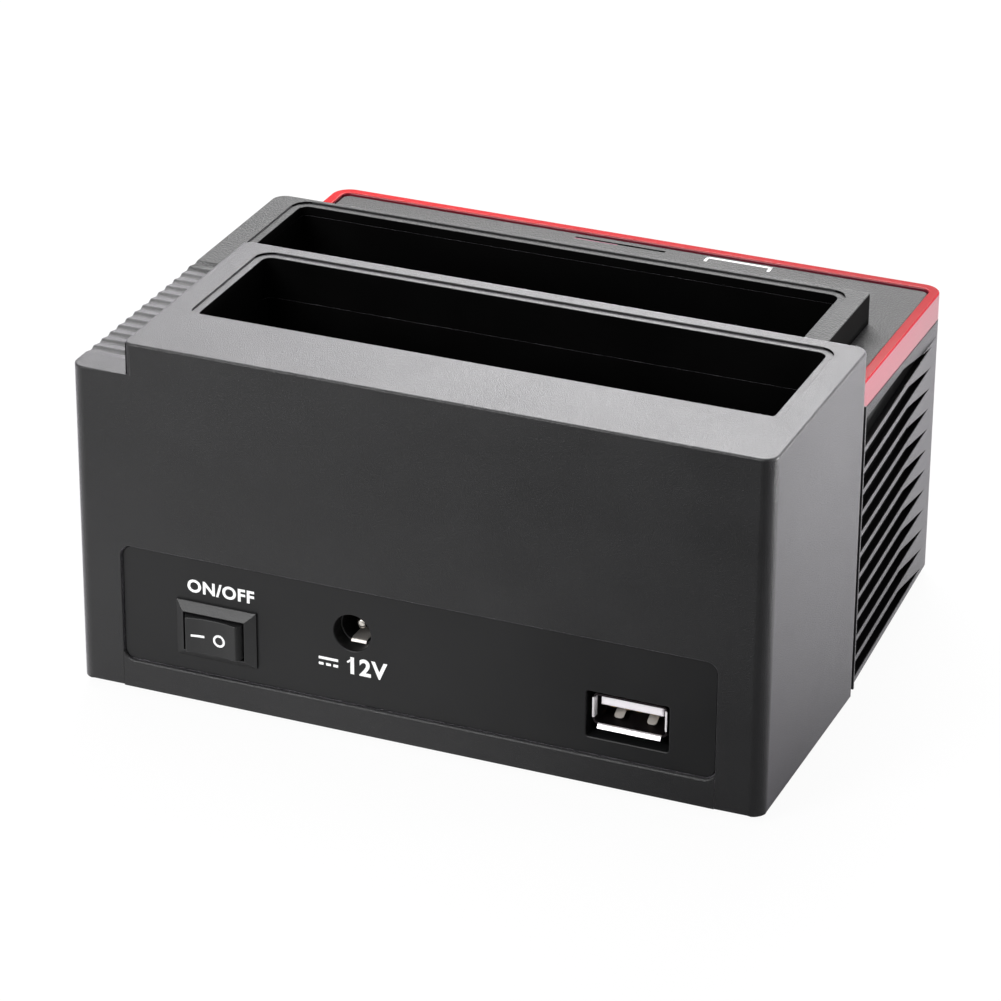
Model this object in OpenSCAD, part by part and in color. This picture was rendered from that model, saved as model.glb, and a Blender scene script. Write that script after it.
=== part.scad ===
// Hard drive docking station with two upright bays, built as separate mouldings and fittings.
// The port face looks along +Y, the ribbed strip is at the +X end and +Z is up.
// The origin is on the table under the middle of the case. All sizes are in millimetres.

/* [Case] */
// Length of the ribbed strip beside the raised rear block
strip_l = 10; // [8:0.5:24]
// Depth of the deck in front of the bays
deck_l = 19.2; // [18:0.1:40]
// Height of the raised rear block above the underside
body_h = 65; // [58:1:90]
// Wall of the upper shell
wall = 2.2; // [1.6:0.1:2.6]
// Thickness of the top faces and of the deck
top_t = 2.2; // [1.6:0.1:3]
// Radius of the upright corners
corner_r = 2.6; // [1:0.1:4]
// Radius of the raised block's upright corners at the strip
raised_r = 1.5; // [0.5:0.1:3]
// Step from the raised rear block down to the front bay
block_step = 5.8; // [3:0.1:9]
// Step from the front bay down to the deck
deck_drop = 5.7; // [3:0.1:8]
// Play between mouldings that meet
seam = 0.1; // [0.05:0.05:0.3]

/* [Drive bays] */
// Length of a bay opening
slot_l = 103; // [101:0.5:106]
// Width of a bay opening
slot_w = 27.5; // [26.5:0.1:29]
// Corner radius of a bay opening
slot_r = 1.8; // [0.5:0.1:3]
// Rim between a bay opening and the end of its block
bay_end_rim = 6; // [5:0.1:7]
// Distance of the rear bay opening from the port face
slot_inset = 15.8; // [15.4:0.1:20]
// Rim in front of the rear bay opening
block_front_rim = 4.2; // [4:0.1:6]
// Web between the two bay openings
bay_gap = 8.7; // [7.5:0.1:11]
// Rim in front of the front bay opening
bay_front_rim = 2.5; // [2.4:0.1:4]
// Rim at the free end of the front bay
bay_free_rim = 4.7; // [3:0.1:6]
// Width of the shallow ledge round an opening
ledge_w = 1.4; // [0.5:0.1:2]
// Depth of the shallow ledge round an opening
ledge_d = 0.4; // [0.2:0.1:0.8]
// Wall of a bay liner
liner_t = 1; // [0.8:0.1:1.1]
// Floor of a bay liner
liner_floor_t = 1.6; // [1:0.1:2.5]

/* [Ribbed strip] */
// Number of ribs on the strip
rib_count = 14; // [6:1:15]
// Spacing of the ribs
rib_pitch = 3.05; // [2:0.05:3.1]
// Depth of the ribs
rib_depth = 0.45; // [0.2:0.05:0.8]
// Plain length of the strip before the first rib
rib_inset = 5.7; // [4:0.1:8]

/* [Front section] */
// How far the front section is set in from each end
side_inset = 3.6; // [3:0.1:5]
// How far the grooved sides spread from the front corners to the rear block
side_spread = 2.65; // [0.5:0.05:2.8]
// Side wall of the front housing, which holds the grooves
fin_wall = 3; // [2.6:0.1:3.4]
// Front wall of the front housing
front_wall = 2.2; // [1.6:0.1:2.6]
// Radius of the front corners
front_r = 3.5; // [2.2:0.1:5]
// Height of the trim band
trim_h = 5.2; // [4:0.05:7]
// Width of the trim band
trim_w = 2; // [1.5:0.1:2.2]
// How far the trim band stands above the deck
trim_proud = 0.5; // [0.2:0.1:1]
// Number of grooves on a side
groove_count = 12; // [4:1:12]
// Height of the last groove's lower edge above the underside
groove_low_rim = 1.25; // [1.1:0.05:3]
// Height of a groove at the face
groove_h = 2.85; // [1.5:0.05:3]
// Depth of a groove
groove_depth = 1.7; // [0.6:0.1:1.8]
// Downward tilt of a groove in degrees
groove_tilt = 35; // [0:1:38]
// Drop from the trim band to the lower edge of the first groove
groove_top_drop = 3.55; // [3.2:0.05:4]
// Distance of a groove's pointed end from the front face
groove_tip_inset = 7.7; // [5:0.1:12]
// Length of the pointed end of a groove
groove_taper_l = 14.6; // [5:0.1:20]

/* [Base and feet] */
// Thickness of the base tray
tray_t = 2.2; // [1.8:0.1:3]
// Play between the base tray and the walls round it
tray_play = 0.2; // [0.1:0.05:0.4]
// Height of a foot below the case
foot_h = 1.5; // [1:0.1:4]
// Diameter of a foot
foot_d = 9; // [6:0.5:10]
// Depth of the recess that holds a foot
foot_recess = 0.5; // [0.3:0.1:0.8]
// Distance of the feet from the ends of the case
foot_end_inset = 16.5; // [16.5:0.5:22]
// Distance of the feet from the port face and the front face
foot_face_inset = 15.6; // [15.6:0.1:20]
// Diameter of a case screw column
column_d = 6; // [5.5:0.1:6.4]
// Diameter of a case screw shank
screw_d = 2.6; // [2:0.1:2.8]
// Diameter of a case screw head
screw_head_d = 5.4; // [4.5:0.1:5.6]
// Height of a screw head
screw_head_h = 1.8; // [1.2:0.1:2]
// Play round a screw shank or head
screw_play = 0.15; // [0.05:0.05:0.3]

/* [Panels] */
// Distance of the rear port panel from the ends of the case
panel_end_rim = 8.5; // [8:0.1:12]
// Height of the rear port panel
panel_h = 21.8; // [20.5:0.1:30]
// Height of the lip below the panels
panel_lip = 5.2; // [4.4:0.1:5.6]
// Corner radius of the panels
panel_r = 2; // [1:0.1:3]
// How far the panels are set back from the faces
panel_recess = 0.6; // [0.3:0.1:1]
// Thickness of the panel plates
plate_t = 1.8; // [1.7:0.1:2.2]
// Thickness of the flange behind a panel
flange_t = 1.2; // [0.8:0.1:1.6]
// Overlap of the flange behind the walls
flange_w = 2.2; // [1:0.1:2.4]
// Distance of the front panel from the ends of the case
front_panel_end_rim = 12.5; // [12:0.1:13]

/* [Main board] */
// Distance of the main board from the ends of the case
board_end_inset = 15; // [14.5:0.5:16]
// Thickness of the main board
board_t = 1.6; // [1:0.1:2]
// Height of the standoffs under the main board
standoff_h = 6.4; // [5:0.1:7]
// Diameter of a standoff
standoff_d = 6; // [5:0.1:7]
// Inset of the board's rear edge from the port face
board_rear_inset = 7; // [6:0.1:9]
// Inset of the board's front edge from the front face
board_front_inset = 6.5; // [6.3:0.1:7]
// Clear height between the board and the bay floors
board_clear = 4.2; // [3.8:0.1:6]
// Diameter of a board screw shank
board_screw_d = 2.4; // [2:0.1:2.6]
// Diameter of a board screw head
board_head_d = 5; // [4:0.1:5.2]
// Distance of the board screws from the ends of the board
board_screw_inset = 3.5; // [3.1:0.1:4]

/* [Drive connectors] */
// Length of a drive connector
conn_l = 44; // [42:0.5:46]
// Width of a drive connector
conn_w = 6.6; // [6:0.1:8]
// Height of a drive connector above the bay floor
conn_rise = 6; // [4:0.1:8]
// Offset of the connectors from the middle of a bay
conn_shift = 18; // [0:0.5:20]
// Spacing of the contacts
conn_pitch = 1.27; // [1.2:0.01:1.3]

/* [Rocker switch] */
// Distance of the switch from the end of the port panel
switch_inset = 17.7; // [17:0.1:20]
// Height of the switch above the panel's lower edge
switch_up = 8.4; // [8:0.1:10]
// Length of the switch flange
switch_l = 15; // [14.6:0.1:17]
// Height of the switch flange
switch_h = 10.5; // [10.2:0.1:12]
// Thickness of the switch flange
switch_flange_t = 1.6; // [1:0.1:2]
// Swing radius of the rocker's ends
rocker_r = 5.7; // [5:0.1:5.8]
// Width of the rocker
rocker_w = 6.6; // [5:0.1:6.8]
// Half of the rocker's throw in degrees
rocker_half_throw = 12; // [6:1:14]
// Play round the rocker
rocker_play = 0.3; // [0.2:0.05:0.4]
// Diameter of the rocker's pivot pins
pivot_d = 1.8; // [1.2:0.1:2]

/* [Power inlet] */
// Distance of the power inlet from the switch
jack_gap = 25.1; // [20:0.1:26]
// Height of the power inlet above the main board
jack_up = 8.5; // [7:0.1:9]
// Diameter of the hole in the panel
jack_hole_d = 6.75; // [6.5:0.05:7.5]
// Bore of the power inlet
jack_bore_d = 6.3; // [5.5:0.1:6.4]
// Diameter of the centre pin
jack_pin_d = 2.1; // [1.5:0.1:2.5]
// Width of the power inlet body
jack_w = 9; // [8.4:0.1:10]

/* [Data ports] */
// Distance of the data port from the end of the port panel
port_inset = 15.6; // [12:0.1:18]
// Width of a port shell
port_w = 13.1; // [12.8:0.1:13.6]
// Height of a port shell
port_h = 5.7; // [5.5:0.1:6]
// Sheet thickness of a port shell
port_t = 0.35; // [0.25:0.05:0.5]
// Length of a port shell
port_l = 12.5; // [10:0.1:12.8]
// How far a port is set back from its panel
port_recess = 1.3; // [0.5:0.1:1.6]
// Length of a port cut-out
port_cut_l = 14.6; // [14:0.1:15.6]
// Height of a port cut-out
port_cut_h = 8.5; // [7:0.1:9]
// Distance of the first hub port from the end of the front panel
hub_inset = 10; // [9.5:0.1:11]
// Spacing of the hub ports
hub_pitch = 18; // [16:0.1:18.5]

/* [Front controls] */
// Distance of the copy button from the end of the front panel
button_inset = 7; // [6.5:0.1:8]
// Diameter of the copy button
button_d = 7; // [5:0.1:8]
// Travel of the copy button
button_travel = 1; // [0.5:0.1:1]
// How far the copy button stands out of the panel
button_proud = 2.5; // [1.2:0.1:3]
// Play round the copy button
button_play = 0.3; // [0.2:0.05:0.5]
// Distance of the first indicator light from the copy button
light_gap = 7.5; // [7:0.1:8]
// Spacing of the indicator lights
light_pitch = 4; // [3.6:0.1:4.4]
// Diameter of an indicator light
light_d = 2.4; // [1.5:0.1:2.6]
// Width of the card slot
card_w = 24.6; // [24.2:0.1:25]
// Height of the card slot
card_h = 2.3; // [2.2:0.1:2.4]

/* [Hidden] */
$fn = 64;

// How far a cutting shape runs past the face that it cuts
over = 1;

// Ends, faces and levels of the case, which is as long and deep as its bays need
body_l = slot_l + 2 * bay_end_rim + strip_l;
body_d = slot_inset + 2 * slot_w + bay_gap + bay_front_rim + deck_l;
end_x = body_l / 2;
rear_y = body_d / 2;
front_y = -body_d / 2;
under_z = foot_h;
top_z = under_z + body_h;
low_z = top_z - block_step;
deck_z = low_z - deck_drop;
liner_top_z = low_z - top_t;
trim_top_z = deck_z + trim_proud;
trim_low_z = trim_top_z - trim_h;

// Bay openings and the blocks round them
raised_x = -end_x + slot_l + 2 * bay_end_rim;
rear_slot = [-end_x + bay_end_rim + slot_l / 2, rear_y - slot_inset - slot_w / 2];
front_slot = [end_x - bay_end_rim - slot_l / 2, rear_slot.y - slot_w - bay_gap];
block_front_y = rear_slot.y - slot_w / 2 - block_front_rim;
bay_free_x = front_slot.x - slot_l / 2 - bay_free_rim;
bay_front_y = front_slot.y - slot_w / 2 - bay_front_rim;
liner_play = 0.2;
bay_wall = bay_front_rim - liner_t - liner_play;
// Where the low point of a rib lies, as a share of its pitch
rib_low_share = 0.7;

// Front section and its grooves
section_x = end_x - side_inset;
section_in_x = section_x - fin_wall;
deck_x = section_x - trim_w - seam;
deck_r = front_r - trim_w;
first_groove_z = trim_low_z - groove_top_drop;
groove_pitch = (first_groove_z - under_z - groove_low_rim) / (groove_count - 1);
section_back_y = block_front_y - seam;
spread_front_y = front_y + front_r;
spread_slope = side_spread / (section_back_y - spread_front_y);
spread_top_z = first_groove_z + groove_h / 4;

// Board, bay floors and connectors
tray_top_z = under_z + tray_t;
board_l = body_l - 2 * board_end_inset;
board_z = tray_top_z + standoff_h;
board_top_z = board_z + board_t;
board_rear_y = rear_y - board_rear_inset;
board_front_y = front_y + board_front_inset;
board_notch_l = 10;
board_notch_play = 2;
liner_low_z = board_top_z + board_clear;
bay_floor_z = liner_low_z + liner_floor_t;
conn_top_z = bay_floor_z + conn_rise;
conn_play = 0.3;
conn_slot_w = 1.7;
conn_slot_d = 5;
conn_end = 3;
conn_pin_w = 0.6;
conn_pin_t = 0.3;
conn_pin_sink = 0.6;
short_pins = 7;
long_pins = 15;
short_l = (short_pins + 1) * conn_pitch;
long_l = (long_pins + 1) * conn_pitch;
short_x = -conn_l / 2 + conn_end + short_l / 2;
long_x = conn_l / 2 - conn_end - long_l / 2;

// Panels: the plate sits in the wall, the flange behind it
panel_l = body_l - 2 * panel_end_rim;
front_panel_l = body_l - 2 * front_panel_end_rim;
panel_low_z = under_z + panel_lip;
panel_top_z = panel_low_z + panel_h;
panel_back = panel_recess + plate_t + flange_t;
rear_panel_y = rear_y - panel_recess;
rear_panel_back_y = rear_y - panel_back;
front_panel_y = front_y + panel_recess;
front_panel_back_y = front_y + panel_back;

// Ports: the shell rests on the board, with its tongue in the upper half
port_x = -panel_l / 2 + port_inset;
hub_x = [for (i = [0, 1]) -front_panel_l / 2 + hub_inset + i * hub_pitch];
port_seat = 0.15;
port_z = board_top_z + port_seat + port_h / 2;
port_cut_sink = 0.5;
port_cut_r = 0.4;
port_in_w = port_w - 2 * port_t;
port_in_h = port_h - 2 * port_t;
port_shell_r = 0.8;
port_block_l = 3;
port_block_play = 0.05;
port_block_r = 0.5;
tongue_w = 11.1;
tongue_t = 1.84;
tongue_low = 0.4;
tongue_set_back = 0.8;
port_pin_x = [-3.5, -1, 1, 3.5];
port_pin_w = 1;
port_pin_t = 0.2;
port_pin_sink = 0.6;

// Power inlet
jack_z = board_top_z + jack_up;
jack_x = panel_l / 2 - switch_inset - jack_gap;
jack_l = 10.6;
jack_bore_l = 9;
jack_back_y = rear_panel_back_y - jack_l;
jack_bore_y = rear_panel_back_y - jack_bore_l;
jack_pin_sink = 0.6;
leaf_w = 2;
leaf_t = 0.3;
leaf_lift = 0.25;
leaf_sink = 1;

// Rocker switch with its terminals and leads
switch_x = panel_l / 2 - switch_inset;
switch_z = panel_low_z + switch_up;
switch_edge_t = 0.4;
switch_rim = 0.15;
switch_end_wall = 0.5;
switch_side_wall = 0.7;
switch_back_wall = 2;
switch_body_play = 0.1;
pivot_set_in = 0.4;
pivot_play = 0.05;
pivot_y = rear_panel_y - pivot_set_in;
pivot_pin_l = 0.6;
rocker_cave_r = rocker_r + rocker_play;
rocker_cave_h = rocker_w + 2 * rocker_play;
rocker_valley = switch_flange_t + pivot_set_in + rocker_play;
rocker_heel = 2.6;
switch_body_l = 2 * (rocker_cave_r + switch_end_wall);
switch_body_h = rocker_cave_h + 2 * switch_side_wall;
switch_body_back_y = pivot_y - rocker_cave_r - switch_back_wall;
terminal_gap = 7;
terminal_l = 5;
terminal_w = 4.6;
terminal_t = 0.8;
terminal_end_y = switch_body_back_y - terminal_l;
lead_d = 1.2;
lead_bend_r = 1.5;
lead_lift = 0.3;
lead_inset = 2;

// Front controls: copy button with its push switch, lights, and the card socket between lights and ports
button_x = front_panel_l / 2 - button_inset;
light_x = [for (i = [0:2]) button_x - light_gap - i * light_pitch];
card_x = (hub_x[1] + port_cut_l / 2 + light_x[2] - light_d / 2) / 2;
card_case_t = 0.45;
card_side_t = 1.4;
card_end_t = 1.5;
card_play = 0.3;
card_gap = 0.2;
card_l = 22;
card_z = board_top_z + card_case_t + card_h / 2;
collar_t = 1;
collar_w = 1;
collar_front_y = front_panel_back_y + button_play;
plunger_d = 3;
plunger_front_y = collar_front_y + collar_t;
plunger_clear = 0.6;
plunger_bite = 0.8;
plunger_l = button_travel + plunger_clear + plunger_bite;
tact_front_y = plunger_front_y + button_travel + plunger_clear;
tact_w = 6;
tact_l = 4.6;
tact_socket_l = button_travel + plunger_bite + plunger_clear;
pipe_collar_d = 3.4;
pipe_out = 0.6;
pipe_back_y = front_panel_back_y + pipe_out;
led_d = 3;
led_l = 3.6;
led_gap = 0.3;
led_front_y = pipe_back_y + led_gap;
led_base_y = max(board_front_y, led_front_y) + led_gap;

// Parts soldered to the main board: length, width and height, and where they stand
chip_size = [14, 14, 1.4];
chip_end_inset = 19.5;
hub_chip_size = [9, 9, 1.2];
hub_chip_front_inset = 18;
crystal_size = [10, 4.4, 3.5];
crystal_gap = 4;
inductor_size = [8, 7, 4.5];
inductor_gap = 2;
can_d = 6;
can_h = 8;
can_gap = 2;
power_row_inset = 4;
chip_x = -board_l / 2 + chip_end_inset;
crystal_x = chip_x + chip_size.x / 2 + crystal_gap + crystal_size.x / 2;
power_row_y = board_rear_y - power_row_inset;
inductor_x = jack_x - jack_w / 2 - inductor_gap - inductor_size.x / 2;
can_x = inductor_x - inductor_size.x / 2 - can_gap - can_d / 2;
can_pitch = can_d + can_gap;

// Screws, columns and feet
tray_boss_h = 4;
tray_boss_wall = 1.2;
tray_boss_d = screw_head_d + 2 * screw_play + 2 * tray_boss_wall;
screw_sink = 0.4;
screw_sunk = screw_head_h + screw_sink;
screw_bite = 9;
screw_end_gap = 0.3;
column_rib_t = 2;
case_screw_inset = 8;
case_screw_rear_x = end_x - wall - tray_play - tray_boss_d / 2;
case_screw_front_x = section_in_x - tray_play - tray_boss_d / 2;
case_screw_points = [
  [case_screw_rear_x, rear_y - case_screw_inset], [-case_screw_rear_x, rear_y - case_screw_inset],
  [case_screw_front_x, front_y + case_screw_inset], [-case_screw_front_x, front_y + case_screw_inset]
];
board_bite = 5;
board_screw_rear_inset = 22;
board_screw_front_inset = 20;
board_screw_x = board_l / 2 - board_screw_inset;
board_screw_points = [
  [board_screw_x, rear_y - board_screw_rear_inset], [-board_screw_x, rear_y - board_screw_rear_inset],
  [board_screw_x, front_y + board_screw_front_inset], [-board_screw_x, front_y + board_screw_front_inset]
];
foot_x = end_x - foot_end_inset;
foot_y = rear_y - foot_face_inset;
foot_points = [for (x = [-foot_x, foot_x], y = [-foot_y, foot_y]) [x, y]];

// Shapes shared by several pieces

// Box between two corners
module slab(x0, x1, y0, y1, z0, z1) {
  translate([x0, y0, z0]) cube([x1 - x0, y1 - y0, z1 - z0]);
}

// Flat outline with its own radius at each corner, anticlockwise from the low corner
module outline(x0, x1, y0, y1, r) {
  polygon([
    [x0 + r[0], y0], [x1 - r[1], y0], [x1, y0 + r[1]], [x1, y1 - r[2]],
    [x1 - r[2], y1], [x0 + r[3], y1], [x0, y1 - r[3]], [x0, y0 + r[0]]
  ]);
  centres = [
    [x0 + r[0], y0 + r[0]], [x1 - r[1], y0 + r[1]], [x1 - r[2], y1 - r[2]], [x0 + r[3], y1 - r[3]]
  ];
  for (i = [0:3]) {
    if (r[i] > 0) translate(centres[i]) circle(r[i]);
  }
}

// Upright block on such an outline
module block(x0, x1, y0, y1, z0, z1, r) {
  translate([0, 0, z0]) linear_extrude(z1 - z0) outline(x0, x1, y0, y1, r);
}

// Plate that stands across the depth: the flat shape lies in X and Z, its outer face at y
module standing(y, t) {
  translate([0, y, 0]) rotate([90, 0, 0]) linear_extrude(t) children();
}

// Round bar along the depth, from y0 up to y1
module bar_y(x, z, y0, y1, d) {
  translate([x, y1, z]) rotate([90, 0, 0]) cylinder(d = d, h = y1 - y0);
}

// Round bar upwards
module bar_z(p, z0, z1, d) {
  translate([p.x, p.y, z0]) cylinder(d = d, h = z1 - z0);
}

// Screw column with a rib that runs into the wall at wall_x
module screw_column(p, wall_x, z0, z1, rib_z1) {
  far_x = sign(p.x) * (wall_x + over);
  bar_z(p, z0, z1, column_d);
  slab(min(p.x, far_x), max(p.x, far_x), p.y - column_rib_t / 2, p.y + column_rib_t / 2, z0, rib_z1);
}

// Upper shell: the raised rear block, the front bay, the end wall and the deck
module upper_shell() {
  color("#3a3a3c") difference() {
    union() {
      block(-end_x, end_x, block_front_y, rear_y, under_z, low_z, [for (i = [0:3]) corner_r]);
      block(-end_x, raised_x, block_front_y, rear_y, liner_top_z, top_z,
        [corner_r, raised_r, raised_r, corner_r]);
      block(bay_free_x, end_x, bay_front_y, block_front_y + wall, deck_z - top_t, low_z, [0, corner_r, 0, 0]);
      block(section_in_x, end_x, bay_front_y, block_front_y + wall, under_z, low_z, [0, corner_r, 0, 0]);
      block(-deck_x, deck_x, front_y + trim_w + seam, block_front_y + wall, deck_z - top_t, deck_z,
        [deck_r, deck_r, 0, 0]);
    }
    shell_hollow();
    shell_cuts();
  }
}

// Hollow of the upper shell, with the throat of the rear bay and the screw columns left standing
module shell_hollow() {
  difference() {
    union() {
      slab(-end_x + wall, end_x - wall, block_front_y + wall, rear_y - wall, under_z - over, liner_top_z);
      slab(-end_x + wall, raised_x - wall, block_front_y + wall, rear_y - wall,
        under_z - over, top_z - top_t);
      slab(bay_free_x + bay_wall, end_x - wall, bay_front_y + bay_wall, block_front_y,
        under_z - over, liner_top_z);
    }
    slab(rear_slot.x - slot_l / 2 - liner_t, rear_slot.x + slot_l / 2 + liner_t,
      rear_slot.y - slot_w / 2 - liner_t, rear_slot.y + slot_w / 2 + liner_t, liner_top_z, top_z);
    for (i = [0, 1]) {
      screw_column(case_screw_points[i], end_x - wall, under_z + tray_boss_h, top_z, top_z);
    }
  }
  slab(-section_in_x, end_x - wall, block_front_y - over, block_front_y + wall + over,
    under_z - over, deck_z - top_t);
}

// Openings in the upper shell: bays, ledges, ribs, panel notch and screw holes
module shell_cuts() {
  bay_opening(rear_slot, top_z);
  bay_opening(front_slot, low_z);
  strip_ribs();
  notch_x = panel_l / 2 + seam;
  notch_top_z = panel_top_z + seam;
  standing(rear_y + over, wall + 2 * over)
    outline(-notch_x, notch_x, under_z - over, notch_top_z, [0, 0, panel_r, panel_r]);
  for (i = [0, 1]) {
    bar_z(case_screw_points[i], under_z, under_z + tray_boss_h + screw_bite, screw_d + 2 * screw_play);
  }
}

// Opening of a bay through the top face, with its ledge on three sides
module bay_opening(centre, face_z) {
  x0 = centre.x - slot_l / 2;
  x1 = centre.x + slot_l / 2;
  y0 = centre.y - slot_w / 2;
  y1 = centre.y + slot_w / 2;
  r = slot_r;
  block(x0, x1, y0, y1, liner_top_z - over, face_z + over, [r, r, r, r]);
  ledge_r = r + ledge_w;
  block(x0 - ledge_w, x1 + ledge_w, y0 - ledge_w, y1, face_z - ledge_d, face_z + over,
    [ledge_r, ledge_r, r, r]);
}

// Sawtooth ribs across the strip at the end of the raised block
module strip_ribs() {
  start_y = rear_y - rib_inset;
  points = concat(
    [[start_y, low_z + over]],
    [for (i = [0:rib_count - 1]) each [
      [start_y - i * rib_pitch, low_z],
      [start_y - (i + rib_low_share) * rib_pitch, low_z - rib_depth]
    ]],
    [[start_y - rib_count * rib_pitch, low_z], [start_y - rib_count * rib_pitch, low_z + over]]
  );
  translate([raised_x, 0, 0]) rotate([90, 0, 90]) linear_extrude(end_x - raised_x + over) polygon(points);
}

// Ring of the front section: right side from the rear block, left side from the front bay
module section_ring(t_side, t_front, z0, z1) {
  back_y = section_back_y;
  in_r = max(front_r - t_side, 0);
  difference() {
    block(-section_x, section_x, front_y, back_y, z0, z1, [front_r, front_r, 0, 0]);
    block(-section_x + t_side, section_x - t_side, front_y + t_front, back_y + over, z0 - over, z1 + over,
      [in_r, in_r, 0, 0]);
    slab(section_x - t_side - over, section_x + over, bay_front_y - seam, back_y + over,
      z0 - over, z1 + over);
  }
}

// Wedge that spreads the side at -X from the front corner back to end_y
module spread_wedge(end_y) {
  out_x = -section_x - (end_y - spread_front_y) * spread_slope;
  in_x = -section_x + over;
  translate([0, 0, under_z]) linear_extrude(spread_top_z - under_z)
    polygon([[in_x, spread_front_y], [-section_x, spread_front_y], [out_x, end_y], [in_x, end_y]]);
}

// Groove with a pointed end, cut inwards and downwards into the spread side at -X
module groove(low_edge_z) {
  tip_y = groove_tip_inset - front_r;
  back_y = section_back_y - spread_front_y + 2 * over;
  face_h = groove_h * cos(groove_tilt);
  reach = groove_depth / cos(groove_tilt);
  translate([-section_x, spread_front_y, low_edge_z]) rotate([0, 0, atan(spread_slope)])
    rotate([0, groove_tilt, 0]) translate([-2 * over, 0, 0]) rotate([90, 0, 90])
      linear_extrude(reach + 2 * over)
        polygon([[back_y, 0], [back_y, face_h], [tip_y + groove_taper_l, face_h], [tip_y, 0]]);
}

// Front housing with grooved sides, the front panel opening and two screw columns
module front_housing() {
  color("#39393b") difference() {
    union() {
      section_ring(fin_wall, front_wall, under_z, trim_low_z);
      spread_wedge(section_back_y);
      mirror([1, 0, 0]) spread_wedge(bay_front_y - seam);
      for (i = [2, 3]) {
        screw_column(case_screw_points[i], section_in_x, under_z + tray_boss_h, deck_z - top_t, trim_low_z);
      }
    }
    for (i = [0:groove_count - 1]) {
      groove(first_groove_z - i * groove_pitch);
      mirror([1, 0, 0]) groove(first_groove_z - i * groove_pitch);
    }
    opening_x = front_panel_l / 2 + seam;
    standing(front_y + front_wall + over, front_wall + 2 * over)
      outline(-opening_x, opening_x, panel_low_z - seam, panel_top_z + seam, [for (i = [0:3]) panel_r]);
    for (i = [2, 3]) {
      bar_z(case_screw_points[i], under_z, under_z + tray_boss_h + screw_bite, screw_d + 2 * screw_play);
    }
  }
}

// Clear red band round the deck
module trim_band() {
  color("#d8202a") section_ring(trim_w, trim_w, trim_low_z, trim_top_z);
}

// Base tray: plate, lip below the port panel, board standoffs and screw bosses
module base_tray() {
  rear_in_x = end_x - wall - tray_play;
  front_in_x = section_in_x - tray_play;
  step_y = block_front_y + wall + tray_play;
  left_y = bay_front_y + bay_wall + tray_play;
  lip_x = panel_l / 2 - seam;
  color("#2f2f31") difference() {
    union() {
      slab(-rear_in_x, rear_in_x, step_y, rear_y - wall - tray_play, under_z, tray_top_z);
      slab(-front_in_x, rear_in_x, left_y, step_y + over, under_z, tray_top_z);
      slab(-front_in_x, front_in_x, front_y + front_wall + tray_play, left_y + over, under_z, tray_top_z);
      slab(-lip_x, lip_x, rear_y - wall - over, rear_y, under_z, tray_top_z);
      difference() {
        slab(-lip_x, lip_x, rear_y - wall, rear_y, under_z, panel_low_z + panel_r);
        standing(rear_y + over, wall + 2 * over)
          outline(-panel_l / 2, panel_l / 2, panel_low_z, panel_top_z, [for (i = [0:3]) panel_r]);
      }
      for (p = case_screw_points) bar_z(p, under_z, under_z + tray_boss_h, tray_boss_d);
      for (p = board_screw_points) bar_z(p, under_z, board_z, standoff_d);
    }
    for (p = case_screw_points) {
      bar_z(p, under_z - over, under_z + screw_sunk, screw_head_d + 2 * screw_play);
      bar_z(p, under_z, under_z + tray_boss_h + over, screw_d + 2 * screw_play);
    }
    for (p = board_screw_points) {
      bar_z(p, board_z - board_bite, board_z + over, board_screw_d + 2 * screw_play);
    }
    for (p = foot_points) bar_z(p, under_z - over, under_z + foot_recess, foot_d + 2 * screw_play);
  }
}

// Panel: a plate that sits in the wall and a flange that bears on the wall from behind
module panel_blank(length, face_y, outward, low_flange) {
  plate_x = length / 2 - seam;
  flange_x = length / 2 + flange_w;
  plate_y = outward > 0 ? face_y : face_y + plate_t;
  flange_y = outward > 0 ? face_y - plate_t : face_y + plate_t + flange_t;
  plate_r = panel_r - seam;
  standing(plate_y, plate_t)
    outline(-plate_x, plate_x, panel_low_z + seam, panel_top_z - seam, [for (i = [0:3]) plate_r]);
  standing(flange_y, flange_t)
    outline(-flange_x, flange_x, panel_low_z + seam - low_flange, panel_top_z + flange_w, [0, 0, 0, 0]);
}

// Cut-out for a port at x
module port_cut(x, y) {
  z = port_z - port_cut_sink;
  standing(y, panel_back + 2 * over) outline(
    x - port_cut_l / 2, x + port_cut_l / 2, z - port_cut_h / 2, z + port_cut_h / 2,
    [for (i = [0:3]) port_cut_r]);
}

// Rear port panel with its three openings
module rear_panel() {
  cut_x = switch_body_l / 2 + switch_body_play;
  cut_z = switch_body_h / 2 + switch_body_play;
  color("#2a2a2c") difference() {
    panel_blank(panel_l, rear_panel_y, 1, 0);
    slab(switch_x - cut_x, switch_x + cut_x, rear_panel_back_y - over, rear_y,
      switch_z - cut_z, switch_z + cut_z);
    bar_y(jack_x, jack_z, rear_panel_back_y - over, rear_y, jack_hole_d);
    port_cut(port_x, rear_y);
  }
}

// Front panel with hub ports, card slot, lights and the copy button
module front_panel() {
  color("#2a2a2c") difference() {
    panel_blank(front_panel_l, front_panel_y, -1, flange_w);
    for (x = hub_x) port_cut(x, front_panel_back_y + over);
    card_cut_x = card_w / 2 + card_play;
    card_cut_z = card_h / 2 + card_play;
    slab(card_x - card_cut_x, card_x + card_cut_x, front_y, front_panel_back_y + over,
      card_z - card_cut_z, card_z + card_cut_z);
    for (x = light_x) bar_y(x, port_z, front_y, front_panel_back_y + over, light_d + 2 * seam);
    bar_y(button_x, port_z, front_y, front_panel_back_y + over, button_d + 2 * button_play);
  }
}

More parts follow.
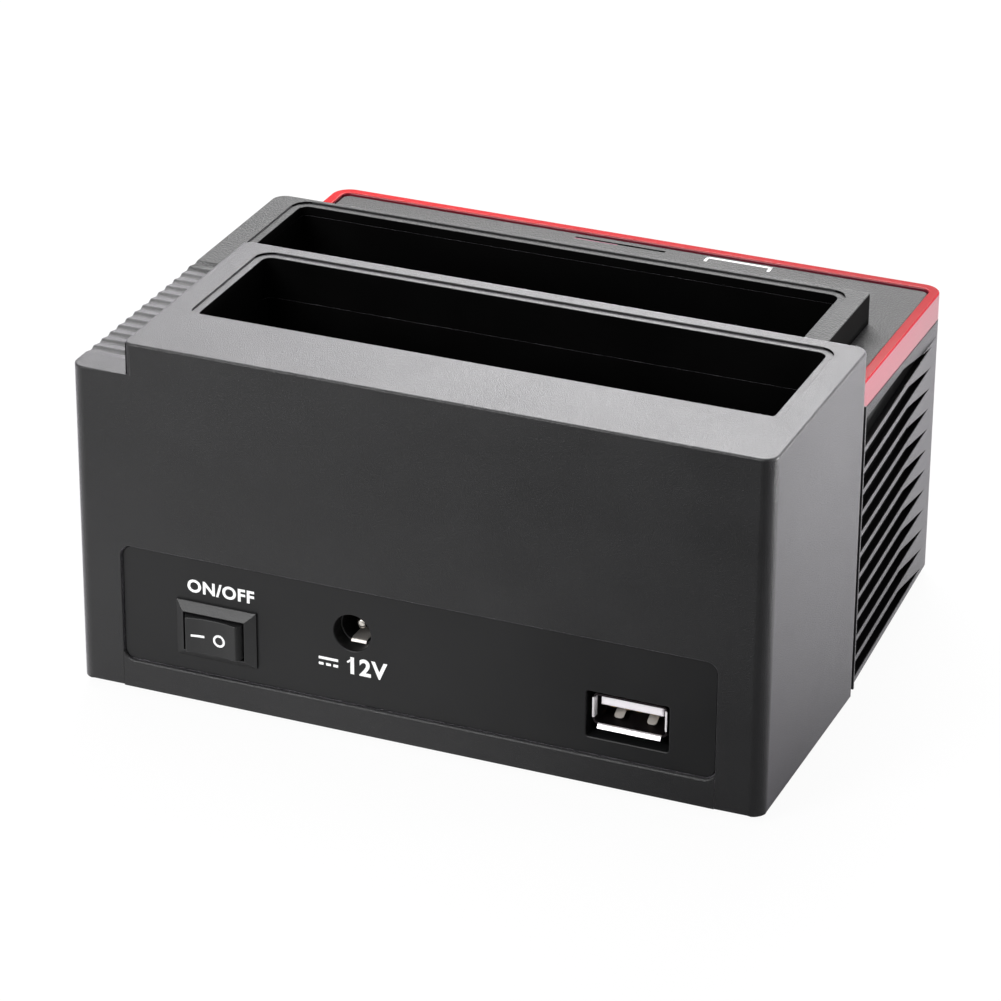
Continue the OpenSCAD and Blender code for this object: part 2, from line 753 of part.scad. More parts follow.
// Sleeve and floor inside a bay, with a window for the drive connector
module bay_liner(centre) {
  x = centre.x;
  y = centre.y;
  hole_x = conn_l / 2 + conn_play;
  hole_y = conn_w / 2 + conn_play;
  color("#1d1d1f") difference() {
    slab(x - slot_l / 2 - liner_t, x + slot_l / 2 + liner_t,
      y - slot_w / 2 - liner_t, y + slot_w / 2 + liner_t, liner_low_z, liner_top_z);
    slab(x - slot_l / 2, x + slot_l / 2, y - slot_w / 2, y + slot_w / 2, bay_floor_z, liner_top_z + over);
    slab(x + conn_shift - hole_x, x + conn_shift + hole_x, y - hole_y, y + hole_y,
      liner_low_z - over, bay_floor_z + over);
  }
}

module rear_bay_liner() {
  bay_liner(rear_slot);
}

module front_bay_liner() {
  bay_liner(front_slot);
}

// Main board with a notch behind the switch
module main_board() {
  notch_x = switch_body_l / 2 + board_notch_play;
  color("#1f5a38") difference() {
    slab(-board_l / 2, board_l / 2, board_front_y, board_rear_y, board_z, board_top_z);
    slab(switch_x - notch_x, switch_x + notch_x, board_rear_y - board_notch_l, board_rear_y + over,
      board_z - over, board_top_z + over);
    for (p = board_screw_points) {
      bar_z(p, board_z - over, board_top_z + over, board_screw_d + 2 * screw_play);
    }
  }
}

// Drive connector: a bar with a short and a long slot in its top for the drive's tongues
module drive_connector(centre) {
  color("#16161a") translate([centre.x + conn_shift, centre.y, 0]) difference() {
    slab(-conn_l / 2, conn_l / 2, -conn_w / 2, conn_w / 2, board_top_z, conn_top_z);
    for (s = [[short_x, short_l], [long_x, long_l]]) {
      slab(s[0] - s[1] / 2, s[0] + s[1] / 2, -conn_slot_w / 2, conn_slot_w / 2,
        conn_top_z - conn_slot_d, conn_top_z + over);
    }
  }
}

module rear_drive_connector() {
  drive_connector(rear_slot);
}

module front_drive_connector() {
  drive_connector(front_slot);
}

// Row of contact strips on the wall of each connector slot
module drive_contacts(centre) {
  color("#c9a227") translate([centre.x + conn_shift, centre.y, 0]) {
    for (s = [[short_x, short_pins], [long_x, long_pins]], i = [0:s[1] - 1]) {
      x = s[0] + (i - (s[1] - 1) / 2) * conn_pitch;
      slab(x - conn_pin_w / 2, x + conn_pin_w / 2, -conn_slot_w / 2, -conn_slot_w / 2 + conn_pin_t,
        conn_top_z - conn_slot_d, conn_top_z - conn_pin_sink);
    }
  }
}

module rear_drive_contacts() {
  drive_contacts(rear_slot);
}

module front_drive_contacts() {
  drive_contacts(front_slot);
}

// Rocker switch frame: sloping flange, body behind the panel and the cave for the rocker
module switch_frame() {
  face_y = rear_panel_y + switch_flange_t;
  slope_y = rear_panel_y + switch_edge_t;
  edge_x = switch_l / 2;
  edge_z = switch_h / 2;
  mouth_x = sqrt(rocker_cave_r ^ 2 - (face_y - pivot_y) ^ 2) + switch_rim;
  mouth_z = rocker_cave_h / 2 + switch_rim;
  color("#1c1c1e") translate([switch_x, 0, switch_z]) difference() {
    union() {
      intersection() {
        translate([0, 0, -edge_z]) linear_extrude(switch_h) polygon([
          [-edge_x, rear_panel_y], [edge_x, rear_panel_y], [edge_x, slope_y],
          [mouth_x, face_y], [-mouth_x, face_y], [-edge_x, slope_y]
        ]);
        translate([-edge_x, 0, 0]) rotate([90, 0, 90]) linear_extrude(switch_l) polygon([
          [rear_panel_y, -edge_z], [slope_y, -edge_z], [face_y, -mouth_z],
          [face_y, mouth_z], [slope_y, edge_z], [rear_panel_y, edge_z]
        ]);
      }
      slab(-switch_body_l / 2, switch_body_l / 2, switch_body_back_y, rear_panel_y,
        -switch_body_h / 2, switch_body_h / 2);
    }
    translate([0, pivot_y, -rocker_cave_h / 2]) cylinder(r = rocker_cave_r, h = rocker_cave_h);
    translate([0, pivot_y, -switch_body_h / 2 - pivot_play])
      cylinder(d = pivot_d + 2 * pivot_play, h = switch_body_h + 2 * pivot_play);
  }
}

// Rocker at the middle of its throw: a hollow of two flat faces, round ends, a pivot pin at each side
module switch_rocker() {
  reach = rocker_r + over;
  crest = rocker_valley + reach * tan(rocker_half_throw);
  pin_l = rocker_cave_h + 2 * pivot_pin_l;
  color("#19191b") translate([switch_x, pivot_y, switch_z]) {
    intersection() {
      translate([0, 0, -rocker_w / 2]) cylinder(r = rocker_r, h = rocker_w);
      translate([0, 0, -rocker_w / 2]) linear_extrude(rocker_w) polygon([
        [-reach, -rocker_heel], [reach, -rocker_heel], [reach, crest], [0, rocker_valley], [-reach, crest]
      ]);
    }
    translate([0, 0, -pin_l / 2]) cylinder(d = pivot_d, h = pin_l);
  }
}

// Blade terminals behind the switch
module switch_terminals() {
  color("#c9c9c4") for (side = [-1, 1]) {
    x = switch_x + side * terminal_gap / 2;
    slab(x - terminal_t / 2, x + terminal_t / 2, terminal_end_y, switch_body_back_y,
      switch_z - terminal_w / 2, switch_z + terminal_w / 2);
  }
}

// Two leads from the terminals to the board
module switch_leads() {
  lead_z = board_top_z + lead_bend_r + lead_lift;
  turn_y = board_rear_y - board_notch_l - lead_inset;
  color("#9a1f1f") for (side = [-1, 1]) {
    x = switch_x + side * terminal_gap / 2;
    bar_y(x, lead_z, turn_y, terminal_end_y, lead_d);
    translate([x, turn_y, lead_z - lead_bend_r]) rotate([0, -90, 0])
      rotate_extrude(angle = -90) translate([lead_bend_r, 0]) circle(d = lead_d, $fn = 32);
    bar_z([x, turn_y - lead_bend_r], board_top_z, lead_z - lead_bend_r, lead_d);
  }
}

// Power inlet body on the board, with its bore facing the panel hole
module dc_jack_body() {
  color("#151517") difference() {
    slab(jack_x - jack_w / 2, jack_x + jack_w / 2, jack_back_y, rear_panel_back_y,
      board_top_z, jack_z + jack_w / 2);
    bar_y(jack_x, jack_z, jack_bore_y, rear_panel_back_y + over, jack_bore_d);
  }
}

module dc_jack_pin() {
  color("#d7d4cd") bar_y(jack_x, jack_z, jack_bore_y, rear_panel_back_y - jack_pin_sink, jack_pin_d);
}

// Spring leaf along the low side of the bore
module dc_jack_contact() {
  leaf_z = jack_z - jack_bore_d / 2 + leaf_lift;
  color("#d0cfca") slab(jack_x - leaf_w / 2, jack_x + leaf_w / 2, jack_bore_y,
    rear_panel_back_y - leaf_sink, leaf_z, leaf_z + leaf_t);
}

// Ports: modelled with the mouth at y = 0, looking along +Y
module port_shell() {
  in_r = port_shell_r - port_t;
  color("#c8c8c6") difference() {
    standing(0, port_l)
      outline(-port_w / 2, port_w / 2, -port_h / 2, port_h / 2, [for (i = [0:3]) port_shell_r]);
    standing(over, port_l + 2 * over)
      outline(-port_in_w / 2, port_in_w / 2, -port_in_h / 2, port_in_h / 2, [for (i = [0:3]) in_r]);
  }
}

module port_tongue() {
  half_w = port_in_w / 2 - port_block_play;
  half_h = port_in_h / 2 - port_block_play;
  color("#f2f0ec") {
    standing(-port_l + port_block_l, port_block_l)
      outline(-half_w, half_w, -half_h, half_h, [for (i = [0:3]) port_block_r]);
    slab(-tongue_w / 2, tongue_w / 2, -port_l + port_block_l - over, -tongue_set_back,
      tongue_low, tongue_low + tongue_t);
  }
}

module port_contacts() {
  color("#c9a227") for (x = port_pin_x) {
    slab(x - port_pin_w / 2, x + port_pin_w / 2, -port_l + port_block_l, -tongue_set_back - port_pin_sink,
      tongue_low - port_pin_t, tongue_low);
  }
}

module at_data_port() {
  translate([port_x, rear_panel_y - port_recess, port_z]) children();
}

module at_hub_ports() {
  for (x = hub_x) {
    translate([x, front_panel_y + port_recess, port_z]) rotate([0, 0, 180]) children();
  }
}

module data_port_shell() {
  at_data_port() port_shell();
}

module data_port_tongue() {
  at_data_port() port_tongue();
}

module data_port_contacts() {
  at_data_port() port_contacts();
}

module hub_port_shells() {
  at_hub_ports() port_shell();
}

module hub_port_tongues() {
  at_hub_ports() port_tongue();
}

module hub_port_contacts() {
  at_hub_ports() port_contacts();
}

// Card socket lying on the board behind the front panel
module card_socket() {
  mouth_y = front_panel_back_y + card_gap;
  half_w = card_w / 2 + card_side_t;
  color("#b9b9b6") difference() {
    slab(card_x - half_w, card_x + half_w, mouth_y, mouth_y + card_l,
      board_top_z, board_top_z + card_h + 2 * card_case_t);
    slab(card_x - card_w / 2, card_x + card_w / 2, mouth_y - over, mouth_y + card_l - card_end_t,
      card_z - card_h / 2, card_z + card_h / 2);
  }
}

// Copy button: cap through the panel, with a collar that holds it behind the panel
module copy_button() {
  cap_front_y = front_panel_y - button_proud;
  color("#c8202a") {
    bar_y(button_x, port_z, cap_front_y, collar_front_y + collar_t / 2, button_d);
    bar_y(button_x, port_z, collar_front_y, collar_front_y + collar_t, button_d + 2 * collar_w);
  }
}

// Plunger between the copy button and the push switch
module button_plunger() {
  color("#e8e4da") bar_y(button_x, port_z, plunger_front_y, plunger_front_y + plunger_l, plunger_d);
}

// Push switch on the board with a socket for the plunger
module button_switch() {
  color("#1a1a1c") difference() {
    slab(button_x - tact_w / 2, button_x + tact_w / 2, tact_front_y, tact_front_y + tact_l,
      board_top_z, port_z + tact_w / 2);
    bar_y(button_x, port_z, tact_front_y - over, tact_front_y + tact_socket_l, plunger_d + 2 * button_play);
  }
}

// Clear light pipes in the front panel
module light_pipes() {
  color("#cfe4ff") for (x = light_x) {
    bar_y(x, port_z, front_panel_y, pipe_back_y, light_d);
    bar_y(x, port_z, front_panel_back_y, pipe_back_y, pipe_collar_d);
  }
}

// Lights behind the pipes, each on a block that stands on the board
module indicator_leds() {
  color("#e9f2e6") for (x = light_x) {
    bar_y(x, port_z, led_front_y, led_base_y + led_l, led_d);
    slab(x - led_d / 2, x + led_d / 2, led_base_y, led_base_y + led_l, board_top_z, port_z);
  }
}

// Part soldered to the board, with its middle at x and y
module on_board(x, y, size) {
  slab(x - size.x / 2, x + size.x / 2, y - size.y / 2, y + size.y / 2, board_top_z, board_top_z + size.z);
}

module control_chip() {
  color("#101012") on_board(chip_x, 0, chip_size);
}

module hub_chip() {
  color("#101012") on_board(chip_x, board_front_y + hub_chip_front_inset, hub_chip_size);
}

module crystal() {
  color("#c2c2c0") on_board(crystal_x, 0, crystal_size);
}

// Inductor and filter capacitors in a row between the power inlet and the data port
module power_inductor() {
  color("#4a4a4d") on_board(inductor_x, power_row_y, inductor_size);
}

module filter_capacitors() {
  color("#20345e") for (i = [0, 1]) {
    bar_z([can_x - i * can_pitch, power_row_y], board_top_z, board_top_z + can_h, can_d);
  }
}

// Screws, with the head at the outside end
module board_screws() {
  color("#b5b5b2") for (p = board_screw_points) {
    bar_z(p, board_top_z, board_top_z + screw_head_h, board_head_d);
    bar_z(p, board_z - board_bite + screw_end_gap, board_top_z, board_screw_d);
  }
}

module case_screws() {
  head_top_z = under_z + screw_sunk;
  color("#2b2b2d") for (p = case_screw_points) {
    bar_z(p, head_top_z - screw_head_h, head_top_z, screw_head_d);
    bar_z(p, head_top_z, under_z + tray_boss_h + screw_bite - screw_end_gap, screw_d);
  }
}

// Rubber feet in shallow recesses of the tray
module rubber_feet() {
  color("#17171a") for (p = foot_points) bar_z(p, 0, under_z + foot_recess, foot_d);
}

upper_shell();
front_housing();
trim_band();
base_tray();
rear_panel();
front_panel();
rear_bay_liner();
front_bay_liner();
main_board();
rear_drive_connector();
front_drive_connector();
rear_drive_contacts();
front_drive_contacts();
switch_frame();
switch_rocker();
switch_terminals();
switch_leads();
dc_jack_body();
dc_jack_pin();
dc_jack_contact();
data_port_shell();
data_port_tongue();
data_port_contacts();
hub_port_shells();
hub_port_tongues();
hub_port_contacts();
card_socket();
copy_button();
button_plunger();
button_switch();
light_pipes();
indicator_leds();
control_chip();
hub_chip();
crystal();
power_inductor();
filter_capacitors();
board_screws();
case_screws();
rubber_feet();
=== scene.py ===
# %% [markdown]
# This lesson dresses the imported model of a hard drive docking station.
# The solids from CAD stay as the frame: each has its right place and size.
# Here they get soft edges, printed marks, small sheet-metal details and finishes.

# %% Load the frame
import math

import bmesh
import bpy
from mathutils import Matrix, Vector


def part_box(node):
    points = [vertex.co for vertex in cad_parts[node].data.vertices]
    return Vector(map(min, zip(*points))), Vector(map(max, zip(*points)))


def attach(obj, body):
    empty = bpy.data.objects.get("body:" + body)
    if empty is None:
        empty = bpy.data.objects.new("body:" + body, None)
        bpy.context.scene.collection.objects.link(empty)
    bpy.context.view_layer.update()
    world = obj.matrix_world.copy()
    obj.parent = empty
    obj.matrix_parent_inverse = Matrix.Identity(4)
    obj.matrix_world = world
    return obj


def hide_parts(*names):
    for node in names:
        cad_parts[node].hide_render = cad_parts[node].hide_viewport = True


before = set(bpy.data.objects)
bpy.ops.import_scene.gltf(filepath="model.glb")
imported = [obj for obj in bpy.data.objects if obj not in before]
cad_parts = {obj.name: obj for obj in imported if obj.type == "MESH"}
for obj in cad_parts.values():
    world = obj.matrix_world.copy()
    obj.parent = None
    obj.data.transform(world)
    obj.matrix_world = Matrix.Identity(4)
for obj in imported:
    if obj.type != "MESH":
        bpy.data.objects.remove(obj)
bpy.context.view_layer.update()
MM = 0.001
print("nodes:", len(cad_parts))

# %% [markdown]
# The camera repeats the photograph's angle: above the rear right corner of the dock.
# A long lens from about 0.8 m keeps the verticals nearly parallel, as in product photographs.

# %% Camera
SENSOR_MM, LENS_MM = 36, 161.167
CAMERA_PLACE_MM = (-265.559, 653.934, 371.887)
CAMERA_TURN_DEG = (63.7997, -0.3637, -157.3345)
camera_data = bpy.data.cameras.new("camera")
camera_data.sensor_width = SENSOR_MM
camera_data.lens = LENS_MM
camera = bpy.data.objects.new("camera", camera_data)
camera.location = Vector(CAMERA_PLACE_MM) * MM
camera.rotation_euler = [math.radians(a) for a in CAMERA_TURN_DEG]
bpy.context.collection.objects.link(camera)
bpy.context.scene.camera = camera
bpy.context.scene.view_settings.view_transform = "Standard"
print("camera at", tuple(round(c, 3) for c in camera.location))

# %% [markdown]
# Every colour is written as the hex value that an eye would read on a screen.
# Blender's shaders work in linear light, so one function turns the hex values over.
# A second small function adds a node, sets its properties and fills its inputs.
# A third starts a material with an empty tree and the Object coordinates that its patterns read.

# %% Colour and node helpers
def linear(hex_colour):
    """Turns an sRGB hex colour into linear RGBA."""
    shares = [int(hex_colour[i:i + 2], 16) / 255 for i in (1, 3, 5)]
    light = [c / 12.92 if c <= 0.04045 else ((c + 0.055) / 1.055) ** 2.4 for c in shares]
    return (*light, 1.0)


def add(tree, kind, inputs=None, **settings):
    """Adds a node with its settings; an input is a value or another node's output."""
    node = tree.nodes.new(kind)
    for name, value in settings.items():
        setattr(node, name, value)
    for name, value in (inputs or {}).items():
        if isinstance(value, bpy.types.NodeSocket):
            tree.links.new(value, node.inputs[name])
        else:
            node.inputs[name].default_value = value
    return node


def blank_material(name):
    """An empty material, its node tree and its Object coordinates."""
    material = bpy.data.materials.new(name)
    material.use_nodes = True
    tree = material.node_tree
    tree.nodes.clear()
    return material, tree, add(tree, "ShaderNodeTexCoord").outputs["Object"]


print("mid grey in linear light:", [round(c, 3) for c in linear("#808080")])

# %% [markdown]
# The stage is one wide pale floor. For the camera it shines plain white, as a lit studio sweep
# does, and a part of it stays an ordinary matt floor, so that the dock keeps a soft shadow.
# Mirror and glass rays see that white too. A painted shade lies on the floor that the dock mirrors:
# its glow fades towards the front right and is darkest beside the near right corner, as the
# photograph's port face grows darker to that side. The fade is fitted to the photograph: how its studio
# was lit isn't known.

# %% Floor and world
def sees_white(tree, camera_share, mirror_share):
    """How much of the white studio a ray sees: one share for the camera, one for mirror and glass."""
    path = add(tree, "ShaderNodeLightPath")
    seen = add(tree, "ShaderNodeMath", {0: path.outputs["Is Camera Ray"], 1: camera_share},
               operation="MULTIPLY")
    bent = add(tree, "ShaderNodeMath", {
        0: path.outputs["Is Glossy Ray"], 1: path.outputs["Is Transmission Ray"]}, operation="MAXIMUM")
    both = add(tree, "ShaderNodeMath", {0: bent.outputs[0], 1: mirror_share, 2: seen.outputs[0]},
               operation="MULTIPLY_ADD")
    return both.outputs[0]


bpy.ops.object.select_all(action="DESELECT")
bpy.ops.mesh.primitive_plane_add(size=8)
floor = bpy.context.object
floor.name = "floor"
sweep, tree, place = blank_material("pale_studio_sweep")
white_share = sees_white(tree, 0.95, 0.9)
matt = add(tree, "ShaderNodeBsdfDiffuse", {"Color": linear("#f4f4f4")})
# Painted shade in the mirrored floor: its glow fades towards the front right and beside the near right
# corner
LIGHT_SIDE, PAINTED_SHADE_CORNER = (0.8, -0.6, 0.0), (-0.075, 0.07, 0.0)
towards_light = add(tree, "ShaderNodeVectorMath", {0: place, 1: LIGHT_SIDE}, operation="DOT_PRODUCT")
fade = add(tree, "ShaderNodeMapRange", {
    "Value": towards_light.outputs["Value"], "From Min": -0.13, "From Max": -0.015,
    "To Min": 0.08, "To Max": 1.0}, interpolation_type="SMOOTHSTEP")
from_corner = add(tree, "ShaderNodeVectorMath", {0: place, 1: PAINTED_SHADE_CORNER}, operation="DISTANCE")
shade = add(tree, "ShaderNodeMapRange", {
    "Value": from_corner.outputs["Value"], "From Min": 0.01, "From Max": 0.09,
    "To Min": 0.3, "To Max": 1.0}, interpolation_type="SMOOTHSTEP")
mirrored = add(tree, "ShaderNodeMath", {0: fade.outputs["Result"], 1: shade.outputs["Result"]},
               operation="MULTIPLY")
camera_ray = add(tree, "ShaderNodeLightPath").outputs["Is Camera Ray"]
strength = add(tree, "ShaderNodeMix", {0: camera_ray, 2: mirrored.outputs[0], 3: 1.0})
shine = add(tree, "ShaderNodeEmission", {"Color": linear("#ffffff"), "Strength": strength.outputs[0]})
mixed = add(tree, "ShaderNodeMixShader", {0: white_share, 1: matt.outputs[0], 2: shine.outputs[0]})
add(tree, "ShaderNodeOutputMaterial", {"Surface": mixed.outputs[0]})
floor.data.materials.append(sweep)

world = bpy.data.worlds.new("studio")
bpy.context.scene.world = world
world.use_nodes = True
tree = world.node_tree
tree.nodes.clear()
dim = add(tree, "ShaderNodeBackground", {"Color": linear("#e8e8ea"), "Strength": 0.4})
bright = add(tree, "ShaderNodeBackground", {"Color": linear("#ffffff"), "Strength": 1.0})
white_share = sees_white(tree, 1.0, 0.5)
mixed = add(tree, "ShaderNodeMixShader", {0: white_share, 1: dim.outputs[0], 2: bright.outputs[0]})
add(tree, "ShaderNodeOutputWorld", {"Surface": mixed.outputs[0]})
print("stage:", floor.name, "and", world.name)

# %% [markdown]
# Four softboxes light the dock. One hangs close behind it, and the satin top faces mirror it.
# One stands high in front on the camera's left, where the sloping edges of the port face mirror it.
# A low one at the side has a narrow beam, which lifts the upper part of the end face and the grooves.
# A wide one overhead gives the plain level.

# %% Softboxes
def softbox(name, place, aim, size, watts, beam=180):
    """Area lamp at a place, turned to a point; all in metres, and the beam in degrees."""
    lamp = bpy.data.lights.new(name, "AREA")
    lamp.shape = "RECTANGLE"
    lamp.size, lamp.size_y = size
    lamp.energy = watts
    lamp.spread = math.radians(beam)
    holder = bpy.data.objects.new(name, lamp)
    holder.location = place
    holder.rotation_euler = (Vector(aim) - Vector(place)).to_track_quat("-Z", "Y").to_euler()
    holder.visible_camera = False
    bpy.context.collection.objects.link(holder)
    return holder


softbox("softbox_behind", (0.1, -0.36, 0.355), (0, 0.02, 0.06), (0.28, 0.18), 2.4)
softbox("softbox_front", (0.23, 0.5, 0.32), (0.03, 0.05, 0.02), (0.25, 0.25), 2.6)
softbox("softbox_side", (-0.32, -0.1, 0.055), (-0.06, 0, 0.075), (0.09, 0.05), 0.14, beam=34)
softbox("softbox_overhead", (0.25, -0.3, 1.0), (0, 0, 0), (0.8, 0.8), 8.0)

# %% [markdown]
# Most of the dock is injection-moulded plastic. The mould was spark-eroded, so the skin has
# a fine even grain, and the gloss changes a little from place to place where the melt cooled.
# One recipe makes the whole family: a base colour with a slight drift, a gloss that wanders,
# and a bump at the size of the grain. The top faces look speckled in the photograph,
# so they get speckles on top of the grain.

# %% Moulded plastics
def moulded(name, dark, light, roughness, grain_mm, relief_mm, speckle=None, **shader):
    """Moulded plastic: colour drift, wandering gloss and a fine grain.

    Speckle is the width and the relief, in mm, of a wider grain that lies over the fine one.
    """
    material, tree, place = blank_material(name)
    drift_mm = 14
    drift = add(tree, "ShaderNodeTexNoise", {"Vector": place, "Scale": 1000 / drift_mm, "Detail": 3.0})
    ramp = add(tree, "ShaderNodeValToRGB", {"Fac": drift.outputs["Fac"]})
    ramp.color_ramp.elements[0].position, ramp.color_ramp.elements[1].position = 0.35, 0.65
    ramp.color_ramp.elements[0].color = linear(dark)
    ramp.color_ramp.elements[1].color = linear(light)
    gloss = add(tree, "ShaderNodeMapRange", {
        "Value": drift.outputs["Fac"], "From Min": 0.3, "From Max": 0.7,
        "To Min": roughness - 0.03, "To Max": roughness + 0.03})
    grain = add(tree, "ShaderNodeTexNoise", {"Vector": place, "Scale": 1000 / grain_mm, "Detail": 2.0})
    bump = add(tree, "ShaderNodeBump", {
        "Height": grain.outputs["Fac"], "Strength": 1.0, "Distance": relief_mm * MM})
    if speckle:
        wide_mm, high_mm = speckle
        spots = add(tree, "ShaderNodeTexNoise", {"Vector": place, "Scale": 1000 / wide_mm, "Detail": 1.0})
        bump = add(tree, "ShaderNodeBump", {
            "Height": spots.outputs["Fac"], "Strength": 1.0, "Distance": high_mm * MM,
            "Normal": bump.outputs["Normal"]})
    skin = add(tree, "ShaderNodeBsdfPrincipled", {
        "Base Color": ramp.outputs["Color"], "Roughness": gloss.outputs["Result"],
        "Normal": bump.outputs["Normal"], **shader})
    add(tree, "ShaderNodeOutputMaterial", {"Surface": skin.outputs[0]})
    return material


# Black ABS with a fine spark grain: satin, grey where it mirrors a lamp, and the grain
# scatters a pale veil when it is seen at a slant
CASE_SKIN = {"Specular IOR Level": 0.42, "Sheen Weight": 0.8, "Sheen Roughness": 0.32,
             "Sheen Tint": linear("#eae5ef")}
case_abs = moulded("spark_grained_black_abs", "#161617", "#1a1a1b", 0.34, 0.17, 0.08, **CASE_SKIN)
# The same ABS on the top faces, with speckles; their width and relief are guesses
top_abs = moulded("speckled_black_abs", "#161617", "#1a1a1b", 0.34, 0.17, 0.08,
                  speckle=(0.42, 0.02), **CASE_SKIN)
# The same ABS with a coarser, duller grain, for the deck and the rim of the front bay
coarse_abs = moulded("coarse_grained_black_abs", "#161617", "#1c1c1d", 0.5, 0.24, 0.09,
                     speckle=(0.36, 0.12),
                     **{"Specular IOR Level": 0.28, "Sheen Weight": 0.3, "Sheen Roughness": 0.4})
# The same ABS with a finer grain on the two port panels
panel_abs = moulded("fine_grained_black_abs", "#121213", "#151516", 0.42, 0.15, 0.015,
                    **{"Specular IOR Level": 0.34})
# Plain black ABS of the bay liners, dull; its near-black is partly painted shade inside the bays,
# and on the upper shell the same black is painted shade
liner_and_painted_shade_abs = moulded("dull_black_abs_and_painted_shade", "#050505", "#080808", 0.7, 0.40, 0.012,
                    **{"Specular IOR Level": 0.02})
# Inside the grooves: painted shade, a darker and duller skin
groove_painted_shade = moulded("painted_groove_shade", "#0d0d0e", "#121213", 0.55, 0.40, 0.012,
                     **{"Specular IOR Level": 0.2})
# Switch housing and rocker: smooth black nylon
switch_nylon = moulded("smooth_black_nylon", "#121213", "#161617", 0.42, 0.13, 0.022)
# Connectors and power inlet: black glass-filled PBT, a little streaky
connector_pbt = moulded("glass_filled_black_pbt", "#0d0d0e", "#131314", 0.5, 0.6, 0.010)
# Tongue of the data ports: natural white nylon
tongue_nylon = moulded("white_nylon", "#e6e2e6", "#f2eef2", 0.35, 0.8, 0.004)
# Plunger: ivory acetal, slippery and slightly waxy
plunger_acetal = moulded("ivory_acetal", "#ded8c8", "#e8e3d4", 0.38, 0.9, 0.004,
                         **{"Subsurface Weight": 0.1})
# Chips and push switch: black epoxy with a dull blasted skin
chip_epoxy = moulded("blasted_black_epoxy", "#101011", "#171718", 0.6, 0.15, 0.008)
# Feet: black rubber, dull with a fine dusting
foot_rubber = moulded("black_rubber", "#111112", "#191919", 0.8, 0.5, 0.015,
                      **{"Specular IOR Level": 0.3})
# Copy button: glossy red ABS
button_abs = moulded("polished_red_abs", "#b3121a", "#bd161f", 0.22, 2.0, 0.004)
# Lead sleeves and capacitor sleeves: soft PVC
lead_pvc = moulded("soft_red_pvc", "#8c1414", "#9a1a1a", 0.45, 1.2, 0.006)
sleeve_pvc = moulded("shrunk_blue_pvc", "#17264a", "#1d3058", 0.3, 1.5, 0.006)
# Inductor: sintered grey ferrite, open-pored
ferrite = moulded("sintered_ferrite", "#3e3e41", "#4d4d50", 0.75, 0.3, 0.02)
print("moulded plastics:", len(bpy.data.materials) - 1)

# %% [markdown]
# The band round the deck is clear red acrylic, polished in the mould. Its colour is painted light:
# light goes in at the top and glows inside, so the top is painted bright red. The sides look through
# to the dark housing, so they are painted a deeper crimson, as shade, and they mirror more.
# The face's upward tilt drives both changes. In the photograph the red also grows brighter
# towards +X; that is painted too. The cause isn't known, so it is fitted.

# %% Clear red acrylic
red_acrylic, tree, place = blank_material("clear_red_acrylic")
FLOW_MM = 9
flow = add(tree, "ShaderNodeTexNoise", {"Vector": place, "Scale": 1000 / FLOW_MM, "Detail": 2.0})
facing = add(tree, "ShaderNodeNewGeometry").outputs["Normal"]
upward = add(tree, "ShaderNodeSeparateXYZ", {"Vector": facing}).outputs["Z"]
along = add(tree, "ShaderNodeSeparateXYZ", {"Vector": place}).outputs["X"]
# Painted light: the red is brighter towards +X and on upward faces, and a deeper crimson on the sides as
# painted shade
lit = add(tree, "ShaderNodeMapRange", {
    "Value": along, "From Min": -60 * MM, "From Max": 60 * MM, "To Min": 0.0, "To Max": 0.2})
painted_light_share = add(tree, "ShaderNodeMath", {0: upward, 1: 0.7, 2: lit.outputs["Result"]},
             operation="MULTIPLY_ADD")
drifted = add(tree, "ShaderNodeMath", {0: flow.outputs["Fac"], 1: 0.12, 2: painted_light_share.outputs[0]},
              operation="MULTIPLY_ADD")
ramp = add(tree, "ShaderNodeValToRGB", {"Fac": drifted.outputs[0]})
painted_light_reds = {0.1: "#6e1c2e", 0.78: "#a0101a", 0.93: "#b8141c"}
ramp.color_ramp.elements.new(0.78)
for stop, (position, tint) in zip(ramp.color_ramp.elements, painted_light_reds.items()):
    stop.position, stop.color = position, linear(tint)
ripple = add(tree, "ShaderNodeBump", {
    "Height": flow.outputs["Fac"], "Strength": 0.3, "Distance": 0.02 * MM})
mirror_share = add(tree, "ShaderNodeMapRange", {
    "Value": upward, "From Min": 0.0, "From Max": 1.0, "To Min": 0.5, "To Max": 0.1})
gleam = add(tree, "ShaderNodeMapRange", {
    "Value": upward, "From Min": 0.0, "From Max": 0.6, "To Min": 0.5, "To Max": 0.0})
glow = add(tree, "ShaderNodeBsdfPrincipled", {
    "Base Color": ramp.outputs["Color"], "Roughness": 0.2, "IOR": 1.49,
    "Coat Weight": gleam.outputs["Result"], "Specular IOR Level": mirror_share.outputs["Result"],
    "Normal": ripple.outputs["Normal"]})
add(tree, "ShaderNodeOutputMaterial", {"Surface": glow.outputs[0]})
print("made", red_acrylic.name)

# %% [markdown]
# Metal parts are pressed from plated sheet or turned from bar. Plating isn't a perfect mirror:
# drawn sheet keeps fine lines along its length, and the gloss clouds over a little.
# A metal's colour is all in its mirror light, so the base colour is the metal's tint.

